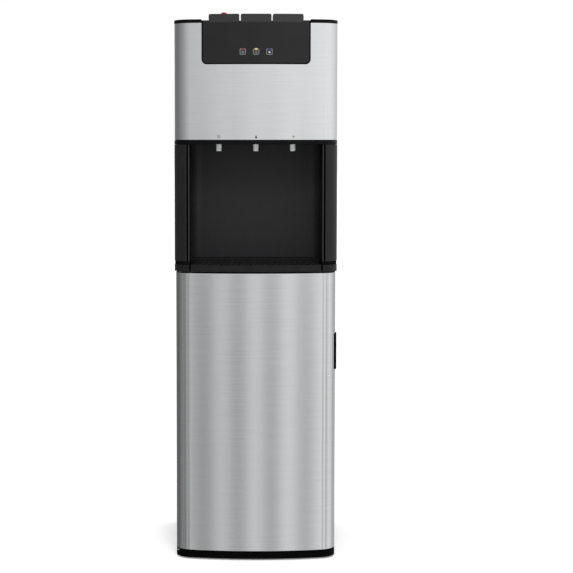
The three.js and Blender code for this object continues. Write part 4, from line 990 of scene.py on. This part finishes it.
dipped_paint = moulded("dipped_paint", "0e0e0f", "151517", (0.28, 0.4), 2.5, 0.03)
dress("compressor", dipped_paint, 1.2, 3)
dress("condenser_coil", dipped_paint, 0.1)

# ---------------------------------------------------------------------------------------------
# Condenser wires
# Rows of thin steel wire, spot-welded across the tube on both its sides to carry the heat off
# into the air.
# ---------------------------------------------------------------------------------------------

WIRE_RADIUS = 0.7 * MM
WIRE_PITCH = 7 * MM
WELD_SHARE = 0.9  # of a wire's radius that stands clear of the tube
WIRE_REACH = 8 * MM  # past the outer runs of the tube
COIL_BEND = 22.6 * MM  # the tube's turns at each side, which carry no wires
STAY_INSET = 34.6 * MM  # the stays that hold the coil, from its sides
STAY_ROOM = 6 * MM


def condenser_wires():
    """Upright wires on both faces of the coil."""
    low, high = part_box("condenser_coil")
    middle = (low.y + high.y) / 2
    offset = (high.y - low.y) / 2 + WIRE_RADIUS * WELD_SHARE
    rise = high.z - low.z + 2 * WIRE_REACH
    half = high.x - COIL_BEND - WIRE_PITCH
    stay_x = high.x - STAY_INSET
    shape = bmesh.new()
    for row in range(int(2 * half / WIRE_PITCH) + 1):
        x = -half + row * WIRE_PITCH
        for side in (-1, 1):
            if side < 0 and abs(abs(x) - stay_x) < STAY_ROOM:
                continue
            foot = bmesh.ops.create_circle(shape, cap_ends=True, radius=WIRE_RADIUS, segments=6)
            place = (x, middle + side * offset, low.z - WIRE_REACH)
            bmesh.ops.translate(shape, vec=place, verts=foot["verts"])
            raise_face(shape, foot["verts"][0].link_faces[0], rise)
    bmesh.ops.recalc_face_normals(shape, faces=shape.faces)
    return shape


wires = make_piece("condenser_wires", condenser_wires(), dipped_paint, "cooler", "black_sheet")
wires.data.shade_smooth()

# ---------------------------------------------------------------------------------------------
# Pump and suction hose
# A membrane pump in a black polypropylene case draws from the bottle through a clear-white
# silicone hose.
# ---------------------------------------------------------------------------------------------

dress("water_pump", satin_polypropylene, 0.8)
# Extruded and translucent, it looks milky with a soft shine.
milky_silicone = moulded("milky_silicone", "d4d8da", "e0e4e5", (0.3, 0.4), 0.8, 0.01)
dress("suction_hose", milky_silicone, 0.1)

# ---------------------------------------------------------------------------------------------
# Probe
# The collar that closes the bottle's neck is moulded in white polypropylene, and a black clip
# in the cabinet holds it when there is no bottle.
# ---------------------------------------------------------------------------------------------

white_polypropylene = moulded("white_polypropylene", "e2e2e0", "ebebe9", (0.35, 0.48), 0.6, 0.01)
dress("probe_collar", white_polypropylene, 0.6)
dress("probe_clip", satin_polypropylene, 0.4)

# ---------------------------------------------------------------------------------------------
# Fittings at the rear
# The drain's spigot and cap, the cord's rubber gland, and a plate with three rocker switches,
# each printed with its two positions.
# ---------------------------------------------------------------------------------------------

ROCKER_SIGN = 3.2 * MM
ROCKER_LINE = 0.7 * MM
ROCKER_SIGN_Z = 5.2 * MM
dress("drain_spigot", white_polypropylene, 0.4)
dress("drain_cap", satin_polypropylene, 0.6)
dress("cord_gland", gasket_rubber, 0.6)
dress("switch_plate", satin_abs, 0.5)
white_ink = ink("white_ink", "d8d8d6", "e4e4e2")


def ring_print(radius, line):
    """A flat ring facing the front."""
    shape = bmesh.new()
    points = [shape.verts.new((reach, 0, 0)) for reach in (radius - line, radius)]
    turn_round(shape, points, (0, 0, 0), (0, 1, 0), 20)
    bmesh.ops.recalc_face_normals(shape, faces=shape.faces)
    return shape


ROCKERS = {"hot": red_abs, "cold": gloss_abs, "light": gloss_abs}
for switch, finish in ROCKERS.items():
    rocker = f"rocker_{switch}"
    dress(rocker, finish, 0.5)
    low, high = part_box(rocker)
    x, z = (low.x + high.x) / 2, (low.z + high.z) / 2
    bar = upright_plate(ROCKER_LINE, ROCKER_SIGN, ROCKER_LINE / 3)
    on_face(bar, rocker, x, z + ROCKER_SIGN_Z, side=1)
    make_piece(f"{switch}_on_sign", bar, white_ink, f"switch_{switch}", "white_plastic")
    ring = ring_print(ROCKER_SIGN / 2, ROCKER_LINE)
    on_face(ring, rocker, x, z - ROCKER_SIGN_Z, side=1)
    make_piece(f"{switch}_off_sign", ring, white_ink, f"switch_{switch}", "white_plastic")

# ---------------------------------------------------------------------------------------------
# Screws
# Zinc-plated pan heads that hold the rear panels, each with a driver's recess in its crown.
# ---------------------------------------------------------------------------------------------

SCREW_RADIUS = 3.4 * MM
SCREW_RISE = 1.9 * MM
SCREW_EDGE = 9 * MM  # from a panel's side to its screws
SCREW_SEAT = 0.02 * MM
SCREW_PROFILE = (  # share of the radius, share of the rise
    (1.0, 0.0),
    (0.98, 0.35),
    (0.82, 0.78),
    (0.5, 0.97),
    (0.4, 1.0),
    (0.34, 0.3),
    (0.0, 0.3),
)


def screw_heads(places):
    """Pan heads on faces that look to the rear."""
    shape = bmesh.new()
    for x, y, z in places:
        points = [
            shape.verts.new((x + SCREW_RADIUS * out, y + SCREW_RISE * up, z))
            for out, up in SCREW_PROFILE
        ]
        turn_round(shape, points, (x, y, z), (0, 1, 0), 18)
    bmesh.ops.remove_doubles(shape, verts=shape.verts, dist=0.01 * MM)
    bmesh.ops.recalc_face_normals(shape, faces=shape.faces)
    return shape


def rear_screws():
    """Where the rear panels are screwed down: down both of their edges."""
    places = []
    for panel in ("rear_panel_lower", "rear_panel_upper"):
        low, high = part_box(panel)
        face = low.y + SHEET + SCREW_SEAT
        for x in (low.x + SCREW_EDGE, high.x - SCREW_EDGE):
            for z in (low.z + 2 * SCREW_EDGE, (low.z + high.z) / 2, high.z - 2 * SCREW_EDGE):
                places.append((x, face, z))
    return places


# A thin bright plating over rolled wire, with a dull silver shine.
zinc_plate = brushed("zinc_plated_steel", "a4a7a8", "b0b3b4", (0.3, 0.4), 0.2)
screws = make_piece("rear_screws", screw_heads(rear_screws()), zinc_plate, "cooler", "plain_steel")
screws.data.shade_smooth()

# ---------------------------------------------------------------------------------------------
# Floor
# A white studio floor that runs on without a horizon. It is left out of reflections, so that
# the steel mirrors the light tent all the way down.
# ---------------------------------------------------------------------------------------------

FLOOR_RADIUS = 40.0
FLOOR_GLOW = 0.2
floor_paint = moulded("matt_floor_paint", "f6f6f6", "f8f8f8", (0.85, 0.95), 40, 0.01, level=0.05)
floor_shader = floor_paint.node_tree.nodes["Principled BSDF"]
floor_shader.inputs["Emission Color"].default_value = (1.0, 1.0, 1.0, 1.0)
floor_shader.inputs["Emission Strength"].default_value = FLOOR_GLOW
floor_shape = bmesh.new()
bmesh.ops.create_circle(floor_shape, cap_ends=True, radius=FLOOR_RADIUS, segments=96)
floor = make_object("floor", floor_shape, floor_paint)
floor.visible_glossy = False

# ---------------------------------------------------------------------------------------------
# Studio light
# An even white room, and a key light from the front that keeps the floor white up to the
# cooler. A cloth tent stands round it, seen only in reflections: lighter to the right, darker
# behind, and in its lower half hung between evenly spaced strip lights.
# ---------------------------------------------------------------------------------------------

ROOM_LIGHT = 1.0
KEY_WATTS = 130.0
KEY_SIZE = 1.6
KEY_PLACE = Vector((0.3, -4.5, 3.2))
KEY_AIM = Vector((0, 0, 0.3))
TENT_RADIUS = 6.0
TENT_SPLIT = 0.45
TENT_REACH = 14.0
CLOTH_TONE = 0.8
CLOTH_SIDES = 0.45  # lighter on the right and darker on the left
CLOTH_DEPTH = 0.3  # lighter in front and darker behind
STRIP_PITCH = 1.5  # from one strip light to the next, across the room
UPPER_SHARES = (1.0, 1.0)  # of the cloth's tone: between the strip lights, and at them
LOWER_SHARES = (0.55, 0.85)


def tent_light(name, shares):
    """Glowing cloth, its tone swinging between two shares of itself from strip to strip."""
    material = bpy.data.materials.new(name)
    material.use_nodes = True
    tree = material.node_tree
    tree.nodes.clear()
    coords = add_node(tree, "TexCoord").outputs["Object"]
    slope = Vector((CLOTH_SIDES, -CLOTH_DEPTH, 0)) / TENT_RADIUS
    across = {"Vector": coords, "Vector_001": slope}
    lean = add_node(tree, "VectorMath", across, operation="DOT_PRODUCT").outputs["Value"]
    tone = add_node(tree, "Math", {"Value": lean, "Value_001": CLOTH_TONE}, operation="ADD")
    place = add_node(tree, "SeparateXYZ", {"Vector": coords}).outputs
    rate = {"Value": place["X"], "Value_001": 2 * math.pi / STRIP_PITCH}
    phase = add_node(tree, "Math", rate, operation="MULTIPLY")
    wave = add_node(tree, "Math", {"Value": phase.outputs["Value"]}, operation="COSINE")
    swing = {
        "Value": wave.outputs["Value"],
        "From Min": -1.0,
        "To Min": shares[0],
        "To Max": shares[1],
    }
    strips = add_node(tree, "MapRange", swing).outputs["Result"]
    bright = {"Value": tone.outputs["Value"], "Value_001": strips}
    glow = add_node(tree, "Math", bright, operation="MULTIPLY").outputs["Value"]
    light = add_node(tree, "Emission", {"Strength": glow}).outputs["Emission"]
    add_node(tree, "OutputMaterial", {"Surface": light})
    return material


def tent_ring(name, low, high, shares):
    """One ring of the tent."""
    shape = bmesh.new()
    points = [shape.verts.new((0, -TENT_RADIUS, z)) for z in (low, high)]
    turn_round(shape, points, (0, 0, 0), (0, 0, 1), 120)
    ring = make_object(name, shape, tent_light(name, shares))
    ring.visible_camera = False
    ring.visible_diffuse = False
    ring.visible_shadow = False
    ring.visible_transmission = False


tent_ring("upper_tent", TENT_SPLIT, TENT_REACH, UPPER_SHARES)
tent_ring("lower_tent", -TENT_REACH, TENT_SPLIT, LOWER_SHARES)

world = bpy.data.worlds.new("studio")
bpy.context.scene.world = world
world.use_nodes = True
room = world.node_tree.nodes["Background"]
room.inputs["Color"].default_value = (1.0, 1.0, 1.0, 1.0)
room.inputs["Strength"].default_value = ROOM_LIGHT

key = bpy.data.lights.new("key", "AREA")
key.shape = "DISK"
key.size = KEY_SIZE
key.energy = KEY_WATTS
key_lamp = bpy.data.objects.new("key", key)
key_lamp.location = KEY_PLACE
key_lamp.rotation_euler = (KEY_PLACE - KEY_AIM).to_track_quat("Z", "Y").to_euler()
key_lamp.visible_camera = False
key_lamp.visible_glossy = False
bpy.context.scene.collection.objects.link(key_lamp)

bpy.context.scene.view_settings.view_transform = "Standard"

# ---------------------------------------------------------------------------------------------
# Camera
# A long lens at the height of the alcove, tipped slightly down.
# ---------------------------------------------------------------------------------------------

CAMERA_PLACE = (-0.03, -3.58, 0.802)
CAMERA_TILT = math.radians(4.64)
FOCAL_LENGTH = 113.53
SENSOR_WIDTH = 36.0
SHIFT = 0.081

camera_data = bpy.data.cameras.new("camera")
camera_data.lens = FOCAL_LENGTH
camera_data.sensor_width = SENSOR_WIDTH
camera_data.shift_x = SHIFT
camera = bpy.data.objects.new("camera", camera_data)
camera.location = CAMERA_PLACE
camera.rotation_euler = (math.pi / 2 - CAMERA_TILT, 0, 0)
bpy.context.scene.collection.objects.link(camera)
bpy.context.scene.camera = camera
